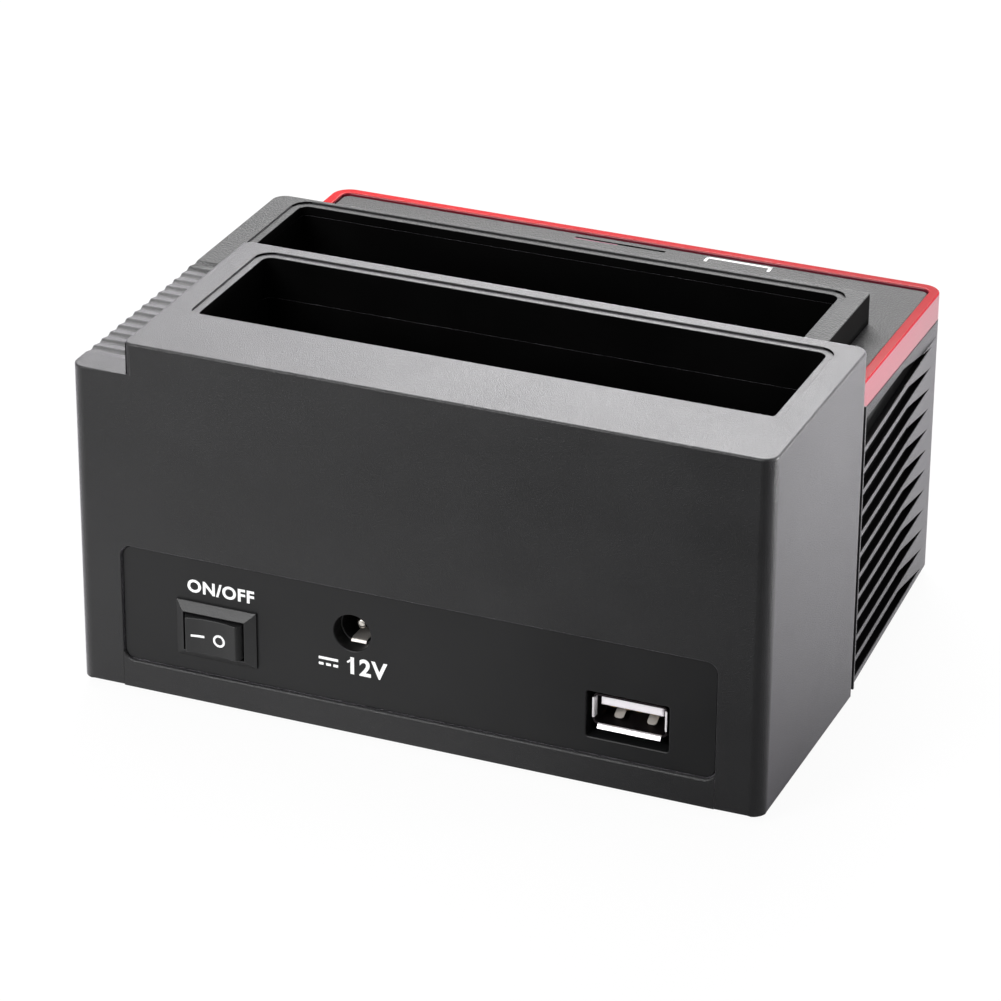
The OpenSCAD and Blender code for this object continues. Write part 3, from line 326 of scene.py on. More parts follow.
# %% Plated metals
def plated(name, dark, light, roughness, lines_mm, relief_mm, metallic=1.0):
    """Plated metal with drawing lines along Y and a clouded gloss."""
    material, tree, place = blank_material(name)
    cloud_mm = 3
    cloud = add(tree, "ShaderNodeTexNoise", {"Vector": place, "Scale": 1000 / cloud_mm, "Detail": 4.0})
    ramp = add(tree, "ShaderNodeValToRGB", {"Fac": cloud.outputs["Fac"]})
    ramp.color_ramp.elements[0].color = linear(dark)
    ramp.color_ramp.elements[1].color = linear(light)
    gloss = add(tree, "ShaderNodeMapRange", {
        "Value": cloud.outputs["Fac"], "From Min": 0.3, "From Max": 0.7,
        "To Min": roughness - 0.05, "To Max": roughness + 0.05})
    drawn = add(tree, "ShaderNodeMapping", {"Vector": place, "Scale": (1.0, 0.05, 1.0)})
    lines = add(tree, "ShaderNodeTexNoise", {"Vector": drawn.outputs[0], "Scale": 1000 / lines_mm})
    bump = add(tree, "ShaderNodeBump", {
        "Height": lines.outputs["Fac"], "Strength": 1.0, "Distance": relief_mm * MM})
    metal = add(tree, "ShaderNodeBsdfPrincipled", {
        "Base Color": ramp.outputs["Color"], "Metallic": metallic, "Roughness": gloss.outputs["Result"],
        "Normal": bump.outputs["Normal"]})
    add(tree, "ShaderNodeOutputMaterial", {"Surface": metal.outputs[0]})
    return material


# Port shells: tin-plated steel sheet, bright with faint drawing lines
tinned_steel = plated("tinned_steel_sheet", "#cfc8ca", "#e6e0e2", 0.25, 0.25, 0.003)
# Lips of the port shells: pale tin, whose white is partly a painted highlight, so they look white from
# every side
tin_with_painted_highlight = plated("tin_with_painted_highlight", "#efebed", "#faf6f8", 0.4, 0.25, 0.003, metallic=0.5)
# Inside of the port shells: the same sheet, painted dark as shade
steel_painted_shade = plated("steel_sheet_painted_shade", "#2a2628", "#3a3537", 0.45, 0.25, 0.003)
# Spring leaf of the power inlet: rolled bronze under dull tin
dull_tin = plated("dull_tin", "#c9c5c0", "#dad6d1", 0.6, 0.3, 0.004)
# Pin, leaf and blades: nickel plate, a touch warm
nickel = plated("nickel_plate", "#cdc8c0", "#e2ddd6", 0.18, 0.3, 0.002)
# Contacts: gold flash over nickel
gold = plated("gold_flash", "#c89a3c", "#dcb45a", 0.25, 0.2, 0.002)
# Crystal can: drawn aluminium
can_metal = plated("drawn_aluminium", "#b4b4b5", "#c8c8c9", 0.3, 0.3, 0.004)
# Screws: zinc-plated steel, grey with a dull bloom
zinc_steel = plated("zinc_plated_steel", "#77797c", "#94969a", 0.38, 0.4, 0.006)
print("metals and plastics:", len(bpy.data.materials) - 1)

# %% [markdown]
# The main board is green coated glass laminate. The coating is glossy, and the copper
# below it shows as paler bands, which a brick pattern of track width draws well enough.

# %% Board, clear plastics and ink
board_laminate, tree, place = blank_material("green_coated_laminate")
TRACK_MM = 4
tracks = add(tree, "ShaderNodeTexBrick", {
    "Vector": place, "Color1": linear("#1c5a36"), "Color2": linear("#226640"),
    "Mortar": linear("#174a2d"), "Scale": 1000 / TRACK_MM, "Mortar Size": 0.06})
coat_bump = add(tree, "ShaderNodeBump", {
    "Height": tracks.outputs["Fac"], "Strength": 0.5, "Distance": 0.03 * MM})
coat = add(tree, "ShaderNodeBsdfPrincipled", {
    "Base Color": tracks.outputs["Color"], "Roughness": 0.3, "Normal": coat_bump.outputs["Normal"]})
add(tree, "ShaderNodeOutputMaterial", {"Surface": coat.outputs[0]})

# Clear polycarbonate light pipes, slightly cloudy inside
clear_pc = moulded("clear_polycarbonate", "#dfe9f2", "#eaf2f8", 0.12, 2.5, 0.003, IOR=1.58,
                   **{"Transmission Weight": 0.75})
# Diffused LED epoxy, milky
led_epoxy = moulded("milky_led_epoxy", "#dbe4d6", "#e6eee2", 0.3, 1.5, 0.003,
                    **{"Subsurface Weight": 0.2})
# Pad-printed ink: opaque white, dull, a little uneven where the pad lifted
white_ink = moulded("white_pad_ink", "#f2f2f2", "#ffffff", 0.55, 0.2, 0.004)
# Painted glow at the rim of the deck slit: red light, dulled to mauve by the black plastic round it
painted_slit_glow = moulded("painted_mauve_glow", "#8a3f5c", "#a04c6a", 0.4, 0.3, 0.004)
print("board, clear plastics and ink made")

# %% [markdown]
# A moulding never has a razor edge: the mould rounds it by a few tenths of a millimetre,
# and that tiny round catches the light as a thin line. The solids have sharp edges,
# so each visible one is copied, its loose triangles are merged, and a Bevel modifier
# rounds only the outward edges that get a weight here.

# %% Copy and soften
SHARP = math.radians(28)


def pick(piece):
    """Selects just this piece and makes it the active one."""
    bpy.ops.object.select_all(action="DESELECT")
    piece.select_set(True)
    bpy.context.view_layer.objects.active = piece


def modified(piece, kind, **settings):
    """Gives a piece a modifier with these settings and applies it."""
    pick(piece)
    modifier = piece.modifiers.new(kind.lower(), kind)
    for name, value in settings.items():
        setattr(modifier, name, value)
    bpy.ops.object.modifier_apply(modifier=modifier.name)


def merge_faces(piece):
    """Joins loose triangles and merges the faces that lie in one plane."""
    pick(piece)
    bpy.ops.object.mode_set(mode="EDIT")
    bpy.ops.mesh.select_all(action="SELECT")
    bpy.ops.mesh.remove_doubles(threshold=0.002 * MM)
    bpy.ops.mesh.dissolve_limited(angle_limit=math.radians(0.5))
    bpy.ops.object.mode_set(mode="OBJECT")


def copy_node(node, name):
    """Copies a CAD node's mesh into a new piece and joins its loose triangles."""
    piece = bpy.data.objects.new(name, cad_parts[node].data.copy())
    bpy.context.collection.objects.link(piece)
    merge_faces(piece)
    return piece


def even_light(piece):
    """Smooths the rounds and keeps the broad faces flat in the light."""
    pick(piece)
    bpy.ops.object.shade_smooth_by_angle(angle=math.radians(35))
    bpy.ops.object.mode_set(mode="EDIT")
    mesh = bmesh.from_edit_mesh(piece.data)
    broad = 1.5 * MM * MM
    for edge in mesh.edges:
        wide = len(edge.link_faces) == 2 and min(f.calc_area() for f in edge.link_faces) > broad
        if wide and edge.calc_face_angle(0) > math.radians(8):
            edge.smooth = False
    bmesh.update_edit_mesh(piece.data)
    bpy.ops.object.mode_set(mode="OBJECT")
    modified(piece, "WEIGHTED_NORMAL", keep_sharp=True)


def soften(piece, width_of, segments=3, widest=0.3):
    """Rounds outward edges; width_of gives the width in mm at an edge's middle, in mm."""
    pick(piece)
    bpy.ops.object.mode_set(mode="EDIT")
    mesh = bmesh.from_edit_mesh(piece.data)
    layer = mesh.edges.layers.float.new("bevel_weight_edge")
    count = 0
    for edge in mesh.edges:
        if len(edge.link_faces) == 2 and edge.calc_face_angle_signed(0) > SHARP:
            middle = (edge.verts[0].co + edge.verts[1].co) / 2 / MM
            edge[layer] = min(width_of(middle) / widest, 1)
            count += edge[layer] > 0
    bmesh.update_edit_mesh(piece.data)
    bpy.ops.object.mode_set(mode="OBJECT")
    modified(piece, "BEVEL", limit_method="WEIGHT", width=widest * MM, segments=segments,
             use_clamp_overlap=False, loop_slide=False)
    even_light(piece)
    print(piece.name, "rounded edges:", count)


def stand_in(piece, material, slot, body, *nodes):
    """Gives a piece its finish and its body, and lets it stand for CAD nodes. The slot is not used."""
    if material is not None:
        piece.data.materials.clear()
        piece.data.materials.append(material)
    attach(piece, body)
    if nodes:
        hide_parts(*nodes)
    return piece


def near(a, b, play=0.03):
    return abs(a - b) < play


# %% [markdown]
# The upper shell is the big moulding with the raised rear block. Its top rims and corners
# show clear light lines in the photograph, so they get the widest round. The ledge round
# each bay is only 0.4 mm deep, so its edges get a much smaller one. The deck has a narrow slit,
# perhaps for a light: a Boolean modifier cuts it before the edges are rounded.
# The deck and the rim of the front bay look duller than the top, so they get the coarser grain.
# The upright corner beside the strip is a dark line in the photograph, so it gets the dull black
# as painted shade, and so do the walls inside the bays, the end of the front bay's block and the floor of
# the slit.

# %% Upper shell
def box_mm(node):
    """Low and high corner of a CAD node's box, in mm."""
    return [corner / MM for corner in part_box(node)]


shell_low, shell_high = box_mm("upper_shell")
END_X, REAR_Y, TOP_Z = shell_high.x, shell_high.y, shell_high.z
UNDER_Z = shell_low.z
BLOCK_STEP, DECK_DROP = 5.8, 5.7
LOW_Z = TOP_Z - BLOCK_STEP
DECK_Z = LOW_Z - DECK_DROP
BLOCK_Y = box_mm("front_housing")[1].y
BAYS = [(-5.0, 21.05), (5.0, -15.15)]
BAY_L, BAY_W, LEDGE = 103, 27.5, 1.4
BAY_HALF = (BAY_L / 2 + LEDGE, BAY_W / 2 + LEDGE)


def in_bay(p, room=0.1):
    return any(abs(p.x - x) < BAY_HALF[0] + room and abs(p.y - y) < BAY_HALF[1] + room
               for x, y in BAYS)


WIDE_ROUND = 0.45
SLIT = {"x": 1.4, "y": -46.7, "long": 17.5, "wide": 0.65, "deep": 0.6}


def in_slit(p, room=0.1):
    return (abs(p.x - SLIT["x"]) < SLIT["long"] / 2 + room
            and abs(p.y - SLIT["y"]) < SLIT["wide"] / 2 + room)


def shell_width(p):
    if in_slit(p):
        return 0
    if p.z > DECK_Z - 0.1 and in_bay(p):
        return 0.12
    if near(p.z, TOP_Z):
        return WIDE_ROUND
    if near(p.z, LOW_Z) or near(p.z, DECK_Z):
        return 0.3
    if p.x > END_X - 0.1 and BLOCK_Y < p.y < BLOCK_Y + 4:
        return 0
    if near(p.y, REAR_Y):
        return 0.3 if near(abs(p.x), END_X) or near(p.z, UNDER_Z) else 0.12
    if near(abs(p.x), END_X) or (p.z > DECK_Z and not in_bay(p)):
        return 0.3
    return 0


def box_tool(middle, size):
    """A plain box in mm, to cut with or to shape further."""
    bpy.ops.object.select_all(action="DESELECT")
    bpy.ops.mesh.primitive_cube_add(size=1)
    tool = bpy.context.object
    tool.scale = Vector(size) * MM
    tool.location = Vector(middle) * MM
    bpy.ops.object.transform_apply(location=True, rotation=True, scale=True)
    return tool


def cut_away(piece, tool):
    """Takes the tool's shape out of a piece and removes the tool."""
    modified(piece, "BOOLEAN", operation="DIFFERENCE", object=tool)
    bpy.data.objects.remove(tool)
    merge_faces(piece)


upper = copy_node("upper_shell", "upper_shell_moulding")
slit_box = box_tool((SLIT["x"], SLIT["y"], DECK_Z), (SLIT["long"], SLIT["wide"], 2 * SLIT["deep"]))
cut_away(upper, slit_box)
soften(upper, shell_width, widest=WIDE_ROUND)
stand_in(upper, case_abs, "shell_plastic", "case", "upper_shell")
for finish in (liner_and_painted_shade_abs, coarse_abs, top_abs):
    upper.data.materials.append(finish)
STRIP_X, STRIP_Y = END_X - 10.2, 7
dull = coarse = speckled = 0
for face in upper.data.polygons:
    p, n = face.center / MM, face.normal
    # Painted shade: the bay walls, the end of the front bay's block, the corner by the strip and the floor
    # of the slit take the dull black
    bay_wall = in_bay(p, -0.02) and abs(n.z) < 0.6
    front_bay_end = n.x < -0.9 and DECK_Z + 0.2 < p.z and -END_X + 5 < p.x < -40 and p.y < 0
    strip_corner = 0.5 < n.x < 0.97 and n.y > 0.2 and LOW_Z + 0.3 < p.z < TOP_Z - 0.2
    if bay_wall or front_bay_end or strip_corner or (in_slit(p) and p.z < DECK_Z - 0.05):
        face.material_index = 1
        dull += 1
    elif n.z > 0.5 and p.z < TOP_Z - 1 and not (p.x > STRIP_X and p.y > STRIP_Y):
        face.material_index = 2
        coarse += 1
    elif n.z > 0.6:
        face.material_index = 3
        speckled += 1
print("dull, coarse and speckled faces of the upper shell:", dull, coarse, speckled)

# %% [markdown]
# The front housing carries the long pointed grooves. The light lines in the photograph lie
# on the upper lip of each ridge, and the bottoms of the grooves are nearly black, so the
# faces inside the grooves get a second, darker and duller material as painted shade. Where the grooves
# meet the rear block, a thin upright rib closes them: a box with its edges rounded, joined to the housing.

# %% Front housing
housing_low, housing_high = box_mm("front_housing")
FRONT_Y = housing_low.y
SIDE_INSET, FRONT_ROUND, SIDE_SPREAD, FIN_WALL = 3.6, 3.5, 2.65, 3.0
SECTION_X = END_X - SIDE_INSET
SPREAD_Y = FRONT_Y + FRONT_ROUND
SPREAD_SLOPE = SIDE_SPREAD / (housing_high.y - SPREAD_Y)


def side_x(y):
    """Where the grooved side lies at a depth, as a distance from the middle."""
    return SECTION_X + max(y - SPREAD_Y, 0) * SPREAD_SLOPE


def housing_width(p):
    if near(abs(p.x), side_x(p.y), 0.06):
        return 0.14
    if near(p.y, FRONT_Y):
        return 0.12
    return 0


def joined(name, *parts):
    """Joins pieces into the first one."""
    bpy.ops.object.select_all(action="DESELECT")
    for part in parts:
        part.select_set(True)
    bpy.context.view_layer.objects.active = parts[0]
    if len(parts) > 1:
        bpy.ops.object.join()
    parts[0].name = name
    return parts[0]


RIB_GAP, RIB_W, RIB_IN, RIB_OUT = 0.25, 0.5, END_X - 2.4, END_X - 0.4
band_top = box_mm("trim_band")[1].z
rib_y = housing_high.y - RIB_GAP - RIB_W / 2
rib = box_tool((-(RIB_IN + RIB_OUT) / 2, rib_y, (UNDER_Z + band_top) / 2),
               (RIB_OUT - RIB_IN, RIB_W, band_top - UNDER_Z - 0.2))
soften(rib, lambda p: 0.1)
housing = copy_node("front_housing", "front_housing")
soften(housing, housing_width)
housing = joined("front_housing_moulding", housing, rib)
stand_in(housing, case_abs, "shell_plastic", "case", "front_housing")
housing.data.materials.append(groove_painted_shade)
inside = 0
for face in housing.data.polygons:
    p, n = face.center / MM, face.normal
    depth = side_x(p.y) - abs(p.x)
    outward = n.x if p.x > 0 else -n.x
    on_rib = p.x < 0 and near(p.y, rib_y, RIB_W / 2 + 0.01)
    in_groove = 0.25 < depth < FIN_WALL - 0.1 and p.y > SPREAD_Y and p.z > UNDER_Z + 0.2
    # Painted shade: faces inside the grooves take the darker material
    if in_groove and outward < 0.98 and not on_rib:
        face.material_index = 1
        inside += 1
print("faces inside the grooves:", inside)

# %% [markdown]
# The band, the tray and the two port panels are simple mouldings: a copy with soft edges
# is all that they need. The lip of the tray shows as a light line under the port panel,
# so it gets a wider round, and so do the mouths of the two ports. No gap shows
# at the ends of the lip, so their points are moved out until the lip meets the shell.

# %% Band, tray and panels
band = copy_node("trim_band", "red_trim_band")
soften(band, lambda p: 0.3)
stand_in(band, red_acrylic, "clear_red", "case", "trim_band")


def choose(piece, test):
    """In edit mode, selects only the vertices whose place in mm passes the test."""
    bpy.ops.mesh.select_mode(type="VERT")
    bpy.ops.mesh.select_all(action="DESELECT")
    mesh = bmesh.from_edit_mesh(piece.data)
    found = [v for v in mesh.verts if test(v.co / MM)]
    for v in found:
        v.select_set(True)
    mesh.select_flush_mode()
    bmesh.update_edit_mesh(piece.data)
    return len(found)


LIP_X, LIP_Z, LIP_SEAM = 53.9, UNDER_Z + 5.2, 0.19


def tray_width(p):
    on_top = p.z > LIP_Z - 0.1 and abs(p.x) < LIP_X - 0.02
    return WIDE_ROUND if near(p.y, REAR_Y) and on_top else 0


tray = copy_node("base_tray", "base_tray_moulding")
pick(tray)
bpy.ops.object.mode_set(mode="EDIT")
lip_ends = choose(tray, lambda p: near(abs(p.x), LIP_X) and p.y > REAR_Y - 3)
bpy.ops.transform.resize(value=(1 + LIP_SEAM / LIP_X, 1, 1), center_override=(0, 0, 0))
bpy.ops.object.mode_set(mode="OBJECT")
print("points at the ends of the lip:", lip_ends)
soften(tray, tray_width, widest=WIDE_ROUND)
stand_in(tray, case_abs, "shell_plastic", "case", "base_tray")

PANEL_Y = REAR_Y - 0.6
port_low, port_high = box_mm("data_port_shell")
jack_low, jack_high = box_mm("dc_jack_pin")
JACK = Vector(((jack_low.x + jack_high.x) / 2, PANEL_Y, (jack_low.z + jack_high.z) / 2))


def panel_width(p):
    if not near(p.y, PANEL_Y):
        return 0
    round_port = port_low.x - 2 < p.x < port_high.x + 2 and LIP_Z + 0.5 < p.z < port_high.z + 2
    return 0.25 if round_port or (p - JACK).length < 4.5 else 0.12


rear_panel = copy_node("rear_panel", "rear_port_panel")
soften(rear_panel, panel_width)
stand_in(rear_panel, panel_abs, "panel_plastic", "case", "rear_panel")
front_panel = copy_node("front_panel", "front_port_panel")
soften(front_panel, lambda p: 0.15 if near(p.y, FRONT_Y + 0.6) else 0)
stand_in(front_panel, panel_abs, "panel_plastic", "case", "front_panel")

# %% [markdown]
# The liners are dull black sleeves. Their top edge is seen as a fine light line inside each
# bay, so that edge gets a small round.

# %% Bay liners
for node in ("rear_bay_liner", "front_bay_liner"):
    top = box_mm(node)[1].z
    liner = copy_node(node, node.replace("liner", "sleeve"))
    soften(liner, lambda p: 0.15 if near(p.z, top) else 0)
    stand_in(liner, liner_and_painted_shade_abs, "liner_plastic", "case", node)

# %% [markdown]
# The frame of the rocker switch slopes back all round, and its mitred corners show as fine lines.
# The mould leaves those corners nearly sharp, so only a very small round goes on the front edges.

# %% Switch frame
frame_low, frame_high = box_mm("switch_frame")
SWITCH = Vector(((frame_low.x + frame_high.x) / 2, frame_high.y, (frame_low.z + frame_high.z) / 2))
switch_frame = copy_node("switch_frame", "switch_frame_moulding")
soften(switch_frame, lambda p: 0.06 if p.y > PANEL_Y + 0.1 else 0)
stand_in(switch_frame, switch_nylon, "switch_plastic", "case", "switch_frame")

# %% [markdown]
# The rocker's face is a shallow hollow. In CAD it is two flat faces, and a wide round
# on the valley between them gives the smooth curve that the photograph shows.

# %% Rocker
rocker = copy_node("switch_rocker", "switch_rocker_moulding")
pick(rocker)
bpy.ops.object.mode_set(mode="EDIT")
bpy.ops.mesh.select_mode(type="EDGE")
bpy.ops.mesh.select_all(action="DESELECT")
mesh = bmesh.from_edit_mesh(rocker.data)
valley = [e for e in mesh.edges if len(e.link_faces) == 2
          and e.calc_face_angle_signed(0) < -math.radians(15)
          and (e.verts[0].co.y + e.verts[1].co.y) / 2 / MM > PANEL_Y + 1]
for edge in valley:
    edge.select_set(True)
bmesh.update_edit_mesh(rocker.data)
bpy.ops.mesh.bevel(offset=3.2 * MM, segments=10, affect="EDGES")
bpy.ops.object.mode_set(mode="OBJECT")
soften(rocker, lambda p: 0.15 if p.y > PANEL_Y + 0.5 else 0)
stand_in(rocker, switch_nylon, "switch_plastic", "rocker", "switch_rocker")
print("valley edges of the rocker:", len(valley))

# %% [markdown]
# The power inlet: its body gets a soft mouth, and the centre pin a domed tip that catches
# a bright dot. The spring leaf is bent from sheet: a plane is extruded along the bore, first rising
# towards the plug and then turned down at the mouth, and Solidify gives it its thickness.

# %% Power inlet
inlet = copy_node("dc_jack_body", "power_inlet_body")
inlet_mouth = box_mm("dc_jack_body")[1].y
soften(inlet, lambda p: 0.2 if near(p.y, inlet_mouth) else 0)
stand_in(inlet, connector_pbt, "jack_plastic", "case", "dc_jack_body")
pin = copy_node("dc_jack_pin", "power_inlet_pin")
soften(pin, lambda p: 0.7, segments=5, widest=0.7)
stand_in(pin, nickel, "jack_metal", "case", "dc_jack_pin")


def finish_mesh(piece):
    """Puts a piece's place into its mesh and makes its faces point outwards."""
    pick(piece)
    bpy.ops.object.transform_apply(location=True, rotation=True, scale=True)
    bpy.ops.object.mode_set(mode="EDIT")
    bpy.ops.mesh.select_all(action="SELECT")
    bpy.ops.mesh.remove_doubles(threshold=0.002 * MM)
    bpy.ops.mesh.normals_make_consistent(inside=False)
    bpy.ops.object.mode_set(mode="OBJECT")
    return piece


def thicken(piece, sheet_mm, edge_mm):
    """Gives a flat sheet its thickness and a small round along its edges."""
    modified(piece, "SOLIDIFY", thickness=sheet_mm * MM, offset=0)
    modified(piece, "BEVEL", width=edge_mm * MM, segments=2, angle_limit=SHARP)
    even_light(piece)


def flat_plane(name, middle, size):
    """A level plane in mm, to bend or thicken."""
    bpy.ops.object.select_all(action="DESELECT")
    bpy.ops.mesh.primitive_plane_add(size=1)
    plane = bpy.context.object
    plane.name = name
    plane.scale = (size[0] * MM, size[1] * MM, 1)
    plane.location = Vector(middle) * MM
    bpy.ops.object.transform_apply(location=True, rotation=True, scale=True)
    return plane


def bent_strip(name, middle, size, bends):
    """Strip of sheet in mm: a plane whose far edge on Y is extruded by each step (y, z) in turn."""
    strip = flat_plane(name, middle, size)
    bpy.ops.object.mode_set(mode="EDIT")
    choose(strip, lambda p: p.y > middle[1])
    bpy.ops.mesh.select_mode(type="EDGE")
    for out, up in bends:
        bpy.ops.mesh.extrude_region_move(TRANSFORM_OT_translate={"value": (0, out * MM, up * MM)})
    bpy.ops.object.mode_set(mode="OBJECT")
    return strip


leaf_low, leaf_high = box_mm("dc_jack_contact")
LEAF_W, LEAF_BACK = 2.8, 4.0
leaf_mid = (leaf_low.x + leaf_high.x) / 2
leaf = bent_strip("power_inlet_leaf", (leaf_mid, leaf_low.y + LEAF_BACK / 2, leaf_high.z),
                  (LEAF_W, LEAF_BACK), [(2.6, 0.1), (2.0, 0.0), (0.4, -0.15), (0.3, -0.4)])
thicken(leaf, 0.2, 0.04)
finish_mesh(leaf)
stand_in(leaf, dull_tin, "jack_metal", "case", "dc_jack_contact")
print("leaf of the power inlet:", len(leaf.data.polygons), "faces")

# %% [markdown]
# A data port is a folded sheet shell. The mouth of a real one is flared, so the plug finds
# its way in: a long lip below, with a gap in the middle where the sheet's two ends meet, and
# a short lip at each side. Two rounded spring tabs stand up from the floor of the shell.
# The long lip is bent like the leaf, one half of it, and a Mirror modifier adds the other half.

# %% Data port lips
PORT = Vector(((port_low.x + port_high.x) / 2, port_high.y, (port_low.z + port_high.z) / 2))
SHEET = 0.35
floor_z = port_low.z + SHEET / 2


def with_other_half(strip):
    """Mirrors a strip about the middle of the port."""
    centre = bpy.data.objects.new("port_centre", None)
    centre.location = PORT * MM
    bpy.context.collection.objects.link(centre)
    modified(strip, "MIRROR", use_axis=(True, False, False), mirror_object=centre)
    bpy.data.objects.remove(centre)
    return finish_mesh(strip)


LIP_HALF, LIP_GAP = 5.6, 0.06
lip_mid = PORT.x + (LIP_HALF + LIP_GAP) / 2
lip = bent_strip("port_lip", (lip_mid, PORT.y - 0.5, floor_z), (LIP_HALF - LIP_GAP, 1.2),
                 [(0.15, -0.05), (0.35, -0.62)])
with_other_half(lip)
thicken(lip, 0.3, 0.06)

# The side lip starts as a level strip and is then turned upright about the Y axis
SIDE_H, SIDE_X = 3.7, 6.25
side_lip = bent_strip("port_side_lip", (0, PORT.y - 0.4, 0), (SIDE_H, 1.0), [(0.15, 0.1), (0.05, 0.25)])
side_lip.rotation_euler.y = math.pi / 2
side_lip.location = Vector((PORT.x + SIDE_X, 0, PORT.z + 0.35)) * MM
bpy.ops.object.transform_apply(location=True, rotation=True, scale=True)
with_other_half(side_lip)
thicken(side_lip, 0.2, 0.04)
print("lips of the data port:", len(lip.data.polygons), "and", len(side_lip.data.polygons), "faces")

# %% [markdown]
# Each spring tab is a short tongue of sheet with a round end. It is bent like the lip:
# up towards the mouth and down again, and the end corners are rounded by a vertex bevel.

# %% Spring tabs
TAB_X, TAB_W = 2.9, 1.7
tab = bent_strip("port_tab", (PORT.x + TAB_X, PORT.y - 7.5, floor_z + 0.25), (TAB_W, 3.0),
                 [(2.2, 1.1), (1.6, -0.9)])
bpy.ops.object.mode_set(mode="EDIT")
choose(tab, lambda p: p.y > PORT.y - 2.5)
bpy.ops.mesh.bevel(offset=0.6 * MM, segments=5, affect="VERTICES")
bpy.ops.object.mode_set(mode="OBJECT")
with_other_half(tab)
thicken(tab, 0.25, 0.05)
print("spring tabs at", TAB_X, "mm either side")

# %% [markdown]
# The lips and the tabs are one sheet with the shell, so they are joined to its softened copy.
# The shell is painted dark as shade, and the lips are pale tin painted bright as a highlight. The tongue
# has round ends.
# The same port is used again twice in the front panel, turned to face the other way.

# %% Port shells and tongues
shell = copy_node("data_port_shell", "port_sheet")
soften(shell, lambda p: 0.06)
# Painted shade on the shell, and a painted highlight on the lips
for piece, metal in ((shell, steel_painted_shade), (lip, tin_with_painted_highlight), (side_lip, tin_with_painted_highlight), (tab, dull_tin)):
    piece.data.materials.clear()
    piece.data.materials.append(metal)
shell = joined("data_port_sheet", shell, lip, side_lip, tab)
tongue = copy_node("data_port_tongue", "data_port_blade")
soften(tongue, lambda p: 0.5 if p.y > PORT.y - 4 else 0.05, segments=4, widest=0.5)

hub_low, hub_high = box_mm("hub_port_shells")
half_port = (port_high.x - port_low.x) / 2
HUB_X = (hub_low.x + half_port, hub_high.x - half_port)


def hub_copies(source, name):
    """Two copies of a port piece, turned round to face the front."""
    copies = []
    for i, x in enumerate(HUB_X):
        twin = bpy.data.objects.new(f"{name}_{i}", source.data.copy())
        bpy.context.collection.objects.link(twin)
        twin.rotation_euler.z = math.pi
        twin.location = Vector((x + PORT.x, hub_low.y + PORT.y, 0)) * MM
        pick(twin)
        bpy.ops.object.transform_apply(location=True, rotation=True, scale=True)
        copies.append(twin)
    return joined(name, *copies)


hub_shells = hub_copies(shell, "hub_port_sheets")
hub_tongues = hub_copies(tongue, "hub_port_blades")
stand_in(shell, None, "port_metal", "case", "data_port_shell")
stand_in(tongue, tongue_nylon, "tongue_plastic", "case", "data_port_tongue")
stand_in(hub_shells, None, "port_metal", "case", "hub_port_shells")
stand_in(hub_tongues, tongue_nylon, "tongue_plastic", "case", "hub_port_tongues")
print("ports in front at x =", [round(x, 2) for x in HUB_X])

# %% [markdown]
# The copy button has a slightly dished face, so a fingertip finds it: the front face is inset,
# inset again and pushed in. The light pipes get a domed end, and the feet a soft rim.

# %% Button, lights and feet
button = copy_node("copy_button", "copy_button_cap")
button_front = box_mm("copy_button")[0].y
soften(button, lambda p: 0.3, segments=3)
pick(button)
bpy.ops.object.mode_set(mode="EDIT")
bpy.ops.mesh.select_mode(type="FACE")
bpy.ops.mesh.select_all(action="DESELECT")
mesh = bmesh.from_edit_mesh(button.data)
for face in mesh.faces:
    face.select_set(face.normal.y < -0.99 and near(face.calc_center_median().y / MM, button_front))
bmesh.update_edit_mesh(button.data)
for step, sink in ((0.7, 0.12), (0.9, 0.14), (0.9, 0.06)):
    bpy.ops.mesh.inset(thickness=step * MM)
    bpy.ops.transform.translate(value=(0, sink * MM, 0))
bpy.ops.object.mode_set(mode="OBJECT")
even_light(button)
stand_in(button, button_abs, "button_plastic", "button", "copy_button")

pipes = copy_node("light_pipes", "light_pipe_rods")
soften(pipes, lambda p: 0.3, segments=4)
stand_in(pipes, clear_pc, "light_plastic", "case", "light_pipes")
feet = copy_node("rubber_feet", "rubber_foot_pads")
soften(feet, lambda p: 0.3 if p.z < 0.1 else 0, segments=3)
stand_in(feet, foot_rubber, "foot_rubber", "case", "rubber_feet")

# %% [markdown]
# The case screws sit in the underside. Each head has a cross recess for the driver:
# a cross of two crossed bars is taken away by a Boolean modifier.

# %% Case screws
screws = copy_node("case_screws", "case_screw_set")
soften(screws, lambda p: 0.25 if p.z < UNDER_Z + 3 else 0)
head_face = box_mm("case_screws")[0].z
centres = {}
for v in screws.data.vertices:
    p = v.co / MM
    if p.z < head_face + 0.05:
        key = (p.x > 0, p.y > 0)
        centres.setdefault(key, []).append(p)
CROSS_L, CROSS_W, CROSS_DEEP = 2.9, 0.7, 1.1
for points in centres.values():
    middle = sum(points, Vector()) / len(points)
    for size in ((CROSS_L, CROSS_W), (CROSS_W, CROSS_L)):
        cut_away(screws, box_tool((middle.x, middle.y, head_face), (*size, 2 * CROSS_DEEP)))
stand_in(screws, zinc_steel, "screw_steel", "case", "case_screws")
print("cross recesses:", len(centres))

# %% [markdown]
# The marks on the port panel are white pad print. Text objects are turned into meshes and laid
# a hair proud of the panel. The rocker carries a bar and a ring, and these ride on the rocker.

# %% Printed marks
INK = 0.03


